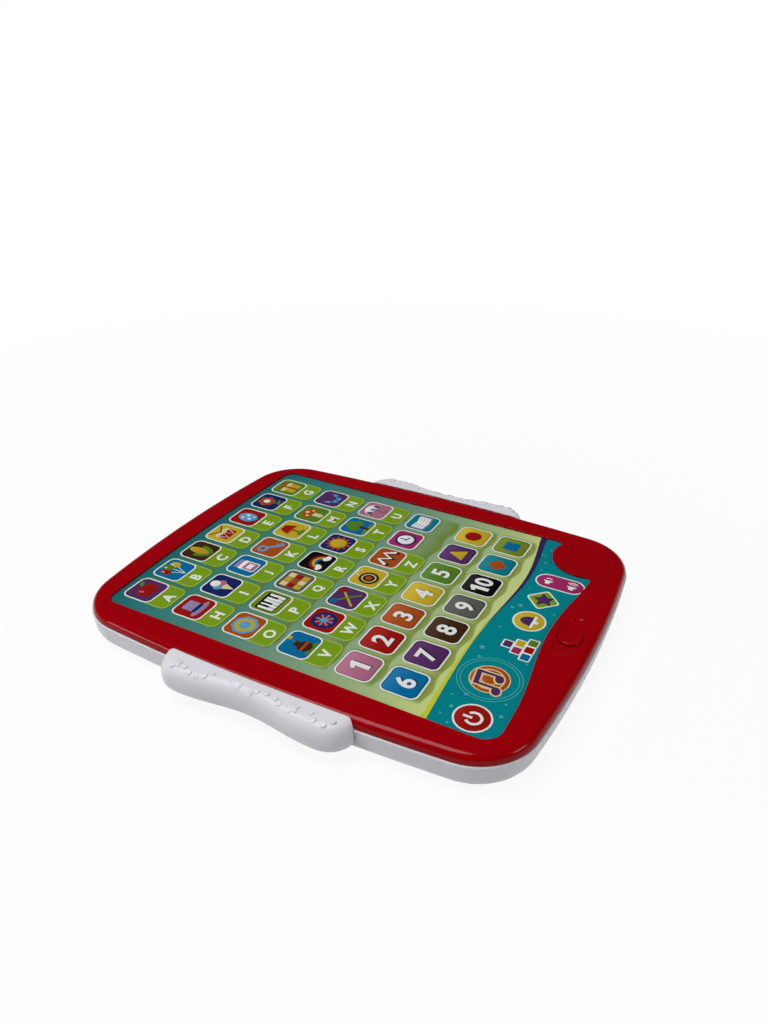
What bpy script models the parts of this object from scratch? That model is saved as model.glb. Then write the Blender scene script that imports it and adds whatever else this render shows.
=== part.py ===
"""A kids' toy tablet with side grips, a printed touch surface, a home button and a speaker.

Metres, +Z up. The tablet lies on its back with its rest plane at z = 0, the screen facing up, the top of
the screen towards +Y and the origin under the middle of the body.
"""

import math

import bmesh
import bpy
from mathutils import Matrix, Vector

MM = 0.001

# Clearance between separate pieces
FIT = 0.3 * MM

# Body outline: a rectangle with bowed sides and round corners
BODY_WIDTH = 201.4 * MM
BODY_HEIGHT = 250.2 * MM
CORNER_RADIUS = 31 * MM
SIDE_BOW = 3.5 * MM
END_BOW = 3.35 * MM
SIDE_STEPS = 6
CORNER_STEPS = 6

# Layers, from the rest plane up to the printed surface and the bezel's face
DOOR_RECESS = 0.3 * MM
DOOR_THICKNESS = 1.8 * MM
CELL_DIAMETER = 10.5 * MM
BAY_ROOF = 1.3 * MM
BAY_HEADROOM = 0.6 * MM
PANEL_THICKNESS = 2.0 * MM
SENSOR_THICKNESS = 0.5 * MM
OVERLAY_THICKNESS = 0.6 * MM
WINDOW_DEPTH = 1.2 * MM

DOOR_TOP = DOOR_RECESS + DOOR_THICKNESS
CELL_Z = DOOR_TOP + FIT + CELL_DIAMETER / 2
BAY_CEILING = CELL_Z + CELL_DIAMETER / 2 + FIT
BAY_TOP = BAY_CEILING + BAY_ROOF
PANEL_Z = BAY_TOP + BAY_HEADROOM
SENSOR_Z = PANEL_Z + PANEL_THICKNESS + FIT
OVERLAY_Z = SENSOR_Z + SENSOR_THICKNESS + FIT
PRINT_Z = OVERLAY_Z + OVERLAY_THICKNESS
FACE_Z = PRINT_Z + WINDOW_DEPTH

# Rear shell
SHELL_WALL = 2.4 * MM
SHELL_FLOOR = 2.4 * MM
SHELL_DRAFT = 0.6 * MM
BACK_RADIUS = 9.0 * MM
BACK_STEPS = 5
RIM_RADIUS = 0.8 * MM
TONGUE_THICKNESS = 1.2 * MM
TONGUE_RISE = 1.5 * MM

# Front bezel
BEZEL_SIDE = 4.9 * MM
BEZEL_SETBACK = 0.5 * MM
BEZEL_LEAN = math.radians(22)
BEZEL_WALL = 2.2 * MM
BEZEL_PLATE = 2.4 * MM
SHOULDER_RADIUS = 1.5 * MM
SHOULDER_STEPS = 3
PARTING_Z = FACE_Z - BEZEL_SIDE
PLATE_Z = FACE_Z - BEZEL_PLATE
SHOULDER_INSET = (BEZEL_SETBACK + SHOULDER_RADIUS * math.cos(BEZEL_LEAN)
                  + (BEZEL_SIDE - FIT - SHOULDER_RADIUS * (1 - math.sin(BEZEL_LEAN))) * math.tan(BEZEL_LEAN))
TONGUE_OUTER = BEZEL_SETBACK + BEZEL_WALL + FIT
TONGUE_INNER = TONGUE_OUTER + TONGUE_THICKNESS

# Window in the bezel: a bowed top, a hump over the home button and a round bite at the speaker
FRAME_SIDE = 17.2 * MM
FRAME_TOP = 16.3 * MM
FRAME_BOTTOM = 17.7 * MM
WINDOW_TOP_BOW = 2.2 * MM
WINDOW_HUMP = 5.7 * MM
WINDOW_HUMP_REACH = 64 * MM
WINDOW_TOP_CORNER = 6.5 * MM
WINDOW_FOOT_CORNER = 9.0 * MM
WINDOW_BITE_CORNER = 3.0 * MM
WINDOW_EDGE_RADIUS = 0.4 * MM
OVERLAY_LAP = 2.0 * MM

# Speaker, in the lower right corner
SPEAKER_DIAMETER = 29 * MM
SPEAKER_RING_WALL = 1.2 * MM
ISLAND_MARGIN = 1.0 * MM
ISLAND_FROM_SIDE = 9.0 * MM
ISLAND_FROM_FOOT = 6.8 * MM
SPEAKER_RING_DROP = 5.0 * MM
GASKET_THICKNESS = 0.6 * MM
GRILLE_HOLE = 1.2 * MM
DIMPLE_DEPTH = 1.0 * MM
GRILLE_COUNTS = (24, 20, 17, 13)
GRILLE_PITCH = 2.6 * MM
GRILLE_FROM_EDGE = 2.7 * MM

# Home button, in a shallow scoop below the window
BUTTON_FROM_FOOT = 13.1 * MM
BUTTON_DIAMETER = 12 * MM
BUTTON_FLANGE = 1.0 * MM
BUTTON_TRAVEL = 1.2 * MM
SCOOP_LENGTH = 33 * MM
SCOOP_WIDTH = 14.6 * MM
SCOOP_DEPTH = 1.6 * MM
SCOOP_PAD = 2.0 * MM
DOME_HEIGHT = 2.3 * MM
DOME_RADIUS = 4.5 * MM

# Side grips
GRIP_LENGTH = 104 * MM
GRIP_Y = 1.5 * MM
GRIP_REACH = 10.3 * MM
GRIP_DIP = 3.4 * MM
GRIP_BULGE_AT = 36 * MM
GRIP_END = 15 * MM
GRIP_BELOW_FACE = 0.2 * MM
GRIP_BOTTOM = 5.8 * MM
GRIP_WALL = 2.6 * MM
GRIP_STEPS = 20
GRIP_SECTION = ((0.30, 0.00), (0.12, 0.06), (0.03, 0.18), (0.0, 0.45), (0.02, 0.66),
                (0.08, 0.85), (0.20, 0.96), (0.36, 1.00))
GRIP_TONGUE_AT = 27 * MM
GRIP_TONGUE = (10 * MM, 4 * MM)
GRIP_TONGUE_Z = 9.2 * MM
GRIP_HOOK = 1.0 * MM

# Raised marks on the grips: stars at (along, out), and dots on arcs, each given by its middle (along, out),
# how far it reaches both ways, its first and last angle and how many dots it has
MARK_RISE = 0.6 * MM
STAR_RADIUS = 3.3 * MM
STARS = ((39.5 * MM, 4.6 * MM), (6 * MM, 3.6 * MM), (-24.5 * MM, 4 * MM))
DOT_RADIUS = 1.35 * MM
DOT_ARCS = ((28 * MM, -1.5 * MM, 9.5 * MM, 8.5 * MM, 50, 150, 5),
            (-9.5 * MM, 5 * MM, 7.8 * MM, -2.9 * MM, 10, 170, 5),
            (-38.5 * MM, 2.2 * MM, 5.6 * MM, 4.4 * MM, 10, 170, 4))

# Battery bay and door
BAY_Y = 18 * MM
BAY_WALL = 1.6 * MM
CELL_LENGTH = 44.5 * MM
CELL_NUB = 1.0 * MM
CELL_GAP = 0.6 * MM
CELL_COUNT = 3
CONTACT_THICKNESS = 0.5 * MM
SPRING_LENGTH = 4.0 * MM
SPRING_TURNS = 3
SPRING_WIRE = 0.5 * MM
DOOR_MARGIN = 2.0 * MM
DOOR_TAB_MARGIN = 7.0 * MM
DOOR_SCREW_MARGIN = 9.0 * MM
DOOR_CORNER = 4.0 * MM
DOOR_FRAME_WALL = 2.0 * MM
DOOR_FRAME_RISE = 4.6 * MM
DOOR_TAB = (9 * MM, 1.6 * MM, 1.2 * MM)
DOOR_TAB_AT = 16 * MM
DOOR_BAR_PITCH = 2.5 * MM

# Screws, posts and stakes
POST_DIAMETER = 6.0 * MM
SCREW_SHAFT = 2.2 * MM
SCREW_HEAD = 5.0 * MM
SCREW_HEAD_HEIGHT = 1.8 * MM
WELL_FLOOR = 2.0 * MM
WELL_DEPTH = 6.0 * MM
WELL_WALL = 1.3 * MM
POST_NOTCH = 2.0 * MM
SIDE_POST_FROM_END = 53 * MM
END_POST_X = 38 * MM
STAKE_DIAMETER = 2.4 * MM
STAKE_HEAD = 4.4 * MM
STAKE_HEAD_HEIGHT = 0.8 * MM

# Circuit boards
BOARD_SIZE = (70 * MM, 44 * MM)
BOARD_Y = -58 * MM
BOARD_THICKNESS = 1.6 * MM
BOARD_DROP = 3.2 * MM
BOARD_SCREW_INSET = 4.0 * MM
STANDOFF_DIAMETER = 5.0 * MM
BUTTON_BOARD_SIZE = (34 * MM, 11 * MM)
BUTTON_POST_AT = 13 * MM
BUTTON_POST_DIAMETER = 4.4 * MM
TAIL_WIDTH = 12 * MM
TAIL_FROM_FOOT = 10 * MM
LEAD_DIAMETER = 1.2 * MM
LEAD_ABOVE_CELL = 1.5 * MM
LEAD_PAD_INSET = 11 * MM

# Places worked out from the sizes above
HALF_WIDTH = BODY_WIDTH / 2
HALF_HEIGHT = BODY_HEIGHT / 2
RABBET_GROW = OVERLAY_LAP + FIT
ISLAND_RADIUS = SPEAKER_DIAMETER / 2 + FIT + SPEAKER_RING_WALL + RABBET_GROW + ISLAND_MARGIN
SPEAKER = Vector((HALF_WIDTH - ISLAND_FROM_SIDE - ISLAND_RADIUS,
                  ISLAND_FROM_FOOT + ISLAND_RADIUS - HALF_HEIGHT))
GRILLE_OUTER = ISLAND_RADIUS - GRILLE_FROM_EDGE
GRILLE_RINGS = [(GRILLE_OUTER - GRILLE_PITCH * step, count) for step, count in enumerate(GRILLE_COUNTS)]
BUTTON_Y = BUTTON_FROM_FOOT - HALF_HEIGHT
WINDOW_HALF = HALF_WIDTH - FRAME_SIDE
WINDOW_TOP = HALF_HEIGHT - FRAME_TOP
WINDOW_FOOT = FRAME_BOTTOM - HALF_HEIGHT
SIDE_POST_Y = HALF_HEIGHT - SIDE_POST_FROM_END
POST_OUT = RABBET_GROW + FIT + POST_DIAMETER / 2
BAY_LENGTH = CELL_LENGTH + SPRING_LENGTH + 2 * (CONTACT_THICKNESS + 2 * FIT)
BAY_WIDTH = CELL_COUNT * CELL_DIAMETER + (CELL_COUNT - 1) * CELL_GAP + 2 * FIT
DOOR_FOOT = BAY_Y - BAY_WIDTH / 2 - DOOR_TAB_MARGIN
DOOR_HEAD = BAY_Y + BAY_WIDTH / 2 + DOOR_SCREW_MARGIN
DOOR_HALF = BAY_LENGTH / 2 + DOOR_MARGIN
DOOR_SCREW_Y = DOOR_HEAD - DOOR_SCREW_MARGIN / 2
DOOR_FRAME_TOP = DOOR_TOP + FIT + DOOR_FRAME_RISE
CONTACT_X = BAY_LENGTH / 2 - FIT - CONTACT_THICKNESS / 2
BOARD_TOP = PANEL_Z - BOARD_DROP
BOARD_Z = BOARD_TOP - BOARD_THICKNESS
SCOOP_PAD_Z = PLATE_Z - SCOOP_PAD
BUTTON_FLANGE_Z = SCOOP_PAD_Z - FIT - BUTTON_FLANGE
DOME_TOP = BUTTON_FLANGE_Z - 2 * FIT
BUTTON_BOARD_TOP = DOME_TOP - DOME_HEIGHT - FIT
BUTTON_BOARD_Z = BUTTON_BOARD_TOP - BOARD_THICKNESS
GASKET_Z = PLATE_Z - FIT - GASKET_THICKNESS
FLANGE_TOP = GASKET_Z - FIT
GRIP_TOP = FACE_Z - GRIP_BELOW_FACE
GRIP_TONGUES_Y = (GRIP_Y - GRIP_TONGUE_AT, GRIP_Y + GRIP_TONGUE_AT)
PILOT_RADIUS = SCREW_SHAFT / 2 + FIT
WELL_RADIUS = SCREW_HEAD / 2 + 2 * FIT
POST_END_Z = WELL_DEPTH + WELL_FLOOR + FIT
CELL_PITCH = CELL_DIAMETER + CELL_GAP
CELLS_Y = [BAY_Y + (index - (CELL_COUNT - 1) / 2) * CELL_PITCH for index in range(CELL_COUNT)]
TAIL_Y = BOARD_Y - BOARD_SIZE[1] / 2 + TAIL_FROM_FOOT
LEAD_Z = CELL_Z + LEAD_ABOVE_CELL
LEAD_EXITS = ((-1, CELLS_Y[0]), (1, CELLS_Y[-1]))


def clear_scene():
    for obj in list(bpy.data.objects):
        bpy.data.objects.remove(obj, do_unlink=True)


def new_collection(name):
    made = bpy.data.collections.new(name)
    bpy.context.scene.collection.children.link(made)
    return made


def new_material(name, colour, roughness, metallic=0.0):
    made = bpy.data.materials.new(name)
    made.use_nodes = True
    shader = made.node_tree.nodes["Principled BSDF"]
    shader.inputs["Base Color"].default_value = (*colour, 1.0)
    shader.inputs["Roughness"].default_value = roughness
    shader.inputs["Metallic"].default_value = metallic
    return made


clear_scene()
PARTS = new_collection("toy_tablet")
CUTTERS = new_collection("cutters")
ASSEMBLY = bpy.data.objects.new("assembly", None)
PARTS.objects.link(ASSEMBLY)

RED = new_material("gloss red plastic", (0.42, 0.004, 0.012), 0.22)
WHITE = new_material("white plastic", (0.80, 0.80, 0.82), 0.42)
PRINT = new_material("printed film", (0.10, 0.33, 0.28), 0.18)
FILM = new_material("clear sensor film", (0.62, 0.66, 0.62), 0.35)
GREY = new_material("grey plastic", (0.45, 0.45, 0.47), 0.5)
BOARD = new_material("green circuit board", (0.03, 0.20, 0.07), 0.4)
STEEL = new_material("zinc plated steel", (0.62, 0.62, 0.60), 0.3, 1.0)
BLACK = new_material("black plastic", (0.015, 0.015, 0.016), 0.45)
PAPER = new_material("speaker paper", (0.05, 0.05, 0.055), 0.9)
FOAM = new_material("grey foam", (0.20, 0.20, 0.21), 0.95)
RUBBER = new_material("silicone rubber", (0.72, 0.70, 0.64), 0.6)
CELL = new_material("cell jacket", (0.10, 0.16, 0.30), 0.3, 0.2)
RED_WIRE = new_material("red lead", (0.55, 0.02, 0.02), 0.45)
BLACK_WIRE = new_material("black lead", (0.02, 0.02, 0.02), 0.45)


# Objects

def place(name, data, material, location=(0, 0, 0), rotation=(0, 0, 0)):
    """A named part of the tablet, parented to the assembly."""
    obj = bpy.data.objects.new(name, data)
    obj.location = location
    obj.rotation_euler = rotation
    obj.parent = ASSEMBLY
    if not data.materials:
        data.materials.append(material)
    PARTS.objects.link(obj)
    return obj


def cutter(mesh):
    """An object that only cuts or joins, named for its mesh."""
    obj = bpy.data.objects.new(mesh.name, mesh)
    obj.hide_render = True
    obj.display_type = "WIRE"
    CUTTERS.objects.link(obj)
    return obj


def boolean(target, other, operation):
    modifier = target.modifiers.new(other.name, "BOOLEAN")
    modifier.operation = operation
    modifier.solver = "EXACT"
    modifier.object = other


def cut(target, *others):
    for other in others:
        boolean(target, other, "DIFFERENCE")


def join(target, *others):
    for other in others:
        boolean(target, other, "UNION")


# Meshes

def finished(bm, name, smooth_angle=40):
    bmesh.ops.recalc_face_normals(bm, faces=bm.faces)
    mesh = bpy.data.meshes.new(name)
    bm.to_mesh(mesh)
    bm.free()
    mesh.shade_smooth()
    mesh.set_sharp_from_angle(angle=math.radians(smooth_angle))
    return mesh


def loft(name, rings):
    """A closed solid through rings of equally many points, filled at both ends."""
    bm = bmesh.new()
    loops = [[bm.verts.new(point) for point in ring] for ring in rings]
    for lower, upper in zip(loops, loops[1:]):
        for index in range(len(lower)):
            bm.faces.new((lower[index - 1], lower[index], upper[index], upper[index - 1]))
    bm.faces.new(loops[0])
    bm.faces.new(loops[-1])
    return finished(bm, name)


def slab(name, outline, bottom, top):
    """A flat plate with this outline, from a filled and extruded 2D curve."""
    data = bpy.data.curves.new(name, "CURVE")
    data.dimensions = "2D"
    data.fill_mode = "BOTH"
    data.extrude = (top - bottom) / 2
    spline = data.splines.new("POLY")
    spline.points.add(len(outline) - 1)
    spline.use_cyclic_u = True
    for point, corner in zip(spline.points, outline):
        point.co = (corner[0], corner[1], 0, 1)
    curve = bpy.data.objects.new(name, data)
    bpy.context.scene.collection.objects.link(curve)
    graph = bpy.context.evaluated_depsgraph_get()
    raw = bpy.data.meshes.new_from_object(curve.evaluated_get(graph))
    bpy.data.objects.remove(curve)
    bm = bmesh.new()
    bm.from_mesh(raw)
    bmesh.ops.remove_doubles(bm, verts=bm.verts, dist=1e-7)
    bmesh.ops.translate(bm, verts=bm.verts, vec=(0, 0, (bottom + top) / 2))
    return finished(bm, name)


def cylinders(name, centres, radius, bottom, top, sides=12):
    bm = bmesh.new()
    for x, y in centres:
        middle = Matrix.Translation((x, y, (bottom + top) / 2))
        bmesh.ops.create_cone(bm, cap_ends=True, segments=sides, radius1=radius, radius2=radius,
                              depth=top - bottom, matrix=middle)
    return finished(bm, name)


def boxes(name, corner_pairs):
    bm = bmesh.new()
    for low, high in corner_pairs:
        low, high = Vector(low), Vector(high)
        size = Matrix.Diagonal((*(high - low), 1))
        bmesh.ops.create_cube(bm, size=1, matrix=Matrix.Translation((low + high) / 2) @ size)
    return finished(bm, name)


def turned(name, profile, steps, closed=False):
    """A mesh turned about Z from (radius, height) points that run down its outer side."""
    mesh = bpy.data.meshes.new(name)
    count = len(profile)
    edges = [(i, (i + 1) % count) for i in range(count if closed else count - 1)]
    mesh.from_pydata([(radius, 0, height) for radius, height in profile], edges, [])
    helper = bpy.data.objects.new(name, mesh)
    bpy.context.scene.collection.objects.link(helper)
    screw = helper.modifiers.new("turn", "SCREW")
    screw.steps = screw.render_steps = steps
    screw.use_merge_vertices = True
    screw.merge_threshold = 1e-7
    graph = bpy.context.evaluated_depsgraph_get()
    solid = bpy.data.meshes.new_from_object(helper.evaluated_get(graph))
    bpy.data.objects.remove(helper)
    bm = bmesh.new()
    bm.from_mesh(solid)
    bmesh.ops.remove_doubles(bm, verts=bm.verts, dist=1e-7)
    return finished(bm, name)


def strip(name, path, width, thickness, material):
    """A flat ribbon along (x, y, z) points in a plane of constant x, thickened by Solidify."""
    bm = bmesh.new()
    rows = [[bm.verts.new((x + side * width / 2, y, z)) for side in (-1, 1)] for x, y, z in path]
    for low, high in zip(rows, rows[1:]):
        bm.faces.new((low[0], low[1], high[1], high[0]))
    ribbon = place(name, finished(bm, name), material)
    solidify = ribbon.modifiers.new("thickness", "SOLIDIFY")
    solidify.thickness = thickness
    solidify.offset = 0
    return ribbon


def wire(name, route, diameter, material, samples):
    """A lead along a smooth curve through the route's points."""
    data = bpy.data.curves.new(name, "CURVE")
    data.dimensions = "3D"
    data.bevel_depth = diameter / 2
    data.bevel_resolution = 1
    data.use_fill_caps = True
    points = smooth_path([Vector(point) * MM for point in route], samples)
    spline = data.splines.new("POLY")
    spline.points.add(len(points) - 1)
    for knot, point in zip(spline.points, points):
        knot.co = (*point, 1)
    return place(name, data, material)


def smooth_path(knots, samples):
    """Points on a Catmull-Rom curve through the knots, samples of them to each span."""
    ends = [2 * knots[0] - knots[1], *knots, 2 * knots[-1] - knots[-2]]
    points = []
    for a, b, c, d in zip(ends, ends[1:], ends[2:], ends[3:]):
        for step in range(samples):
            t = step / samples
            points.append(0.5 * (2 * b + (c - a) * t + (2 * a - 5 * b + 4 * c - d) * t * t
                                 + (3 * b - a - 3 * c + d) * t ** 3))
    return [*points, knots[-1]]


# Outlines

def raised(outline, z):
    return [(x, y, z) for x, y in outline]


def body_outline(inset):
    """The body's bowed outline, moved inwards by inset, anticlockwise from the foot of the right side."""
    reach = (HALF_WIDTH - CORNER_RADIUS - SIDE_BOW, HALF_HEIGHT - CORNER_RADIUS - END_BOW)
    bows = (SIDE_BOW, END_BOW)
    radius = CORNER_RADIUS - inset
    points = []
    for turn in range(4):
        out, along = reach[turn % 2], reach[1 - turn % 2]
        bow, next_bow = bows[turn % 2], bows[1 - turn % 2]
        spin = Matrix.Rotation(turn * math.pi / 2, 2)
        for step in range(SIDE_STEPS + 1):
            t = 2 * step / SIDE_STEPS - 1
            normal = Vector((along, 2 * bow * t)).normalized()
            points.append(spin @ (Vector((out + bow * (1 - t * t), along * t)) + radius * normal))
        first = math.atan2(2 * bow, along)
        last = math.pi / 2 - math.atan2(2 * next_bow, out)
        for step in range(1, CORNER_STEPS):
            angle = first + (last - first) * step / CORNER_STEPS
            corner = Vector((out, along)) + radius * Vector((math.cos(angle), math.sin(angle)))
            points.append(spin @ corner)
    return points


def side_x(y):
    """How far out the body's side is at this height on the body."""
    reach = HALF_HEIGHT - CORNER_RADIUS - END_BOW
    return HALF_WIDTH - SIDE_BOW * (y / reach) ** 2


def window_foot(x):
    """The height of the window's lower edge, which rises in a hump over the home button."""
    lift = (1 + math.cos(math.pi * x / WINDOW_HUMP_REACH)) / 2 if abs(x) < WINDOW_HUMP_REACH else 0
    return WINDOW_FOOT + WINDOW_HUMP * lift


def window_top(x):
    return WINDOW_TOP - WINDOW_TOP_BOW * (x / WINDOW_HALF) ** 2


def rounded(path, steps=4):
    """Points with the corners that have a radius replaced by arcs."""
    points = []
    for index, (corner, radius) in enumerate(path):
        if not radius:
            points.append(corner)
            continue
        before = (path[index - 1][0] - corner).normalized()
        after = (path[(index + 1) % len(path)][0] - corner).normalized()
        half = before.angle(after) / 2
        centre = corner + (before + after).normalized() * radius / math.sin(half)
        start = corner + before * radius / math.tan(half) - centre
        turn = start.angle_signed(corner + after * radius / math.tan(half) - centre)
        for step in range(steps + 1):
            points.append(centre + Matrix.Rotation(-turn * step / steps, 2) @ start)
    return points


def window_outline(grow):
    """The window's outline moved outwards by grow, anticlockwise from its lower left corner."""
    half = WINDOW_HALF + grow
    bite = ISLAND_RADIUS - grow
    meet = Vector((SPEAKER.x - bite, WINDOW_FOOT - grow))
    for _ in range(20):
        meet.y = window_foot(meet.x) - grow
        meet.x = SPEAKER.x - math.sqrt(bite ** 2 - (meet.y - SPEAKER.y) ** 2)
    start = max(2 * WINDOW_FOOT_CORNER - half, -WINDOW_HUMP_REACH)
    stop = min(meet.x - 4 * WINDOW_BITE_CORNER, WINDOW_HUMP_REACH)
    path = [(Vector((-half, WINDOW_FOOT - grow)), WINDOW_FOOT_CORNER + grow)]
    for step in range(11):
        x = start + (stop - start) * step / 10
        path.append((Vector((x, window_foot(x) - grow)), 0))
    path.append((meet, WINDOW_BITE_CORNER))
    first = (meet - SPEAKER).angle_signed(Vector((-1, 0))) + math.pi
    last = math.acos((half - SPEAKER.x) / bite)
    ease = 2.2 * WINDOW_BITE_CORNER / bite
    for step in range(8):
        angle = first - ease + (last - first + 2 * ease) * step / 7
        path.append((SPEAKER + bite * Vector((math.cos(angle), math.sin(angle))), 0))
    path.append((SPEAKER + bite * Vector((math.cos(last), math.sin(last))), WINDOW_BITE_CORNER))
    path.append((Vector((half, window_top(half) + grow)), WINDOW_TOP_CORNER + grow))
    for step in range(5):
        x = (half - 2 * WINDOW_TOP_CORNER) * (1 - step / 2)
        path.append((Vector((x, window_top(x) + grow)), 0))
    path.append((Vector((-half, window_top(half) + grow)), WINDOW_TOP_CORNER + grow))
    return rounded(path)


def grip_reach(along, inset):
    """How far out a grip stands, this far along from its middle: two bulges, a dip and round ends."""
    end = GRIP_LENGTH / 2 - inset
    dip = GRIP_DIP * math.cos(math.pi * min(abs(along) / GRIP_BULGE_AT, 1) / 2) ** 2
    past = max(0.0, (abs(along) - (end - GRIP_END)) / GRIP_END)
    full = HALF_WIDTH + GRIP_REACH - inset - dip
    return GRIP_ROOT + (full - GRIP_ROOT) * math.sqrt(max(0.0, 1 - past ** 2.6))


def grip_outline(inset):
    """A right-hand grip's outline; its back lies inside the shell's wall, which is cut from it."""
    end = GRIP_LENGTH / 2 - inset
    points = [Vector((GRIP_ROOT - FIT, GRIP_Y + end)), Vector((GRIP_ROOT - FIT, GRIP_Y - end))]
    for step in range(1, GRIP_STEPS):
        along = -end * math.cos(math.pi * step / GRIP_STEPS)
        points.append(Vector((grip_reach(along, inset), GRIP_Y + along)))
    return points


def grip_top_z(along, out):
    """The height of a grip's top, this far along it and this far out from the body's side."""
    share = (grip_reach(along, 0) - HALF_WIDTH - out) / GRIP_REACH
    rise = GRIP_SECTION[-1][1]
    for (outer, low), (inner, high) in zip(GRIP_SECTION[3:], GRIP_SECTION[4:]):
        if outer <= share < inner:
            rise = low + (high - low) * (share - outer) / (inner - outer)
    return GRIP_BOTTOM + (GRIP_TOP - GRIP_BOTTOM) * rise


def rounded_box(half_x, low_y, high_y, radius):
    corners = [Vector((-half_x, low_y)), Vector((half_x, low_y)),
               Vector((half_x, high_y)), Vector((-half_x, high_y))]
    return rounded([(corner, radius) for corner in corners], steps=4)


def arc_rings(inset, z, radius, first, last, steps):
    """Rings of the body outline round an arc of its section, about a centre this far in and this high."""
    rings = []
    for step in range(steps + 1):
        angle = math.radians(first + (last - first) * step / steps)
        rings.append(raised(body_outline(inset - radius * math.cos(angle)), z + radius * math.sin(angle)))
    return rings


def shoulder_rings(radius):
    """Rings round the bezel's shoulder, which the leaning side of the bezel runs into smoothly."""
    return arc_rings(SHOULDER_INSET, FACE_Z - SHOULDER_RADIUS, radius,
                     math.degrees(BEZEL_LEAN), 90, SHOULDER_STEPS)


# Where the screws, stakes and posts stand

GRIP_ROOT = side_x(GRIP_Y + GRIP_LENGTH / 2) - SHELL_WALL

SIDE_POST_X = WINDOW_HALF + POST_OUT
POSTS = [(side * SIDE_POST_X, end * SIDE_POST_Y) for end in (1, -1) for side in (-1, 1)]
POSTS += [(side * END_POST_X, window_top(END_POST_X) + POST_OUT) for side in (-1, 1)]
POSTS += [(side * END_POST_X, window_foot(END_POST_X) - POST_OUT) for side in (-1, 1)]
STAKE_OUT = RABBET_GROW + STAKE_HEAD / 2
STAKES = [(side * (WINDOW_HALF + STAKE_OUT), end * SIDE_POST_Y / 2)
          for end in (1, -1) for side in (-1, 1)]
STAKES += [(side * END_POST_X / 2, window_top(END_POST_X / 2) + STAKE_OUT) for side in (-1, 1)]
BOARD_HOLES = [(side * (BOARD_SIZE[0] / 2 - BOARD_SCREW_INSET),
                BOARD_Y + end * (BOARD_SIZE[1] / 2 - BOARD_SCREW_INSET))
               for end in (1, -1) for side in (-1, 1)]
BUTTON_POSTS = [(side * BUTTON_POST_AT, BUTTON_Y) for side in (-1, 1)]


def post_notches():
    """Boxes round the case posts, which let them past the shell's tongue and the backing panel."""
    clear = POST_DIAMETER / 2 + FIT
    reach = POST_DIAMETER / 2 + POST_NOTCH
    pairs = []
    for x, y in POSTS:
        side, end = math.copysign(1, x), math.copysign(1, y)
        if abs(abs(x) - SIDE_POST_X) < FIT:
            spans = sorted((x - side * clear, x + side * reach)), (y - clear, y + clear)
        else:
            spans = (x - clear, x + clear), sorted((y - end * clear, y + end * reach))
        (x0, x1), (y0, y1) = spans
        pairs.append(((x0, y0, PANEL_Z - MM), (x1, y1, FACE_Z)))
    return cutter(boxes("post_notches", pairs))


# Casing

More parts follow.
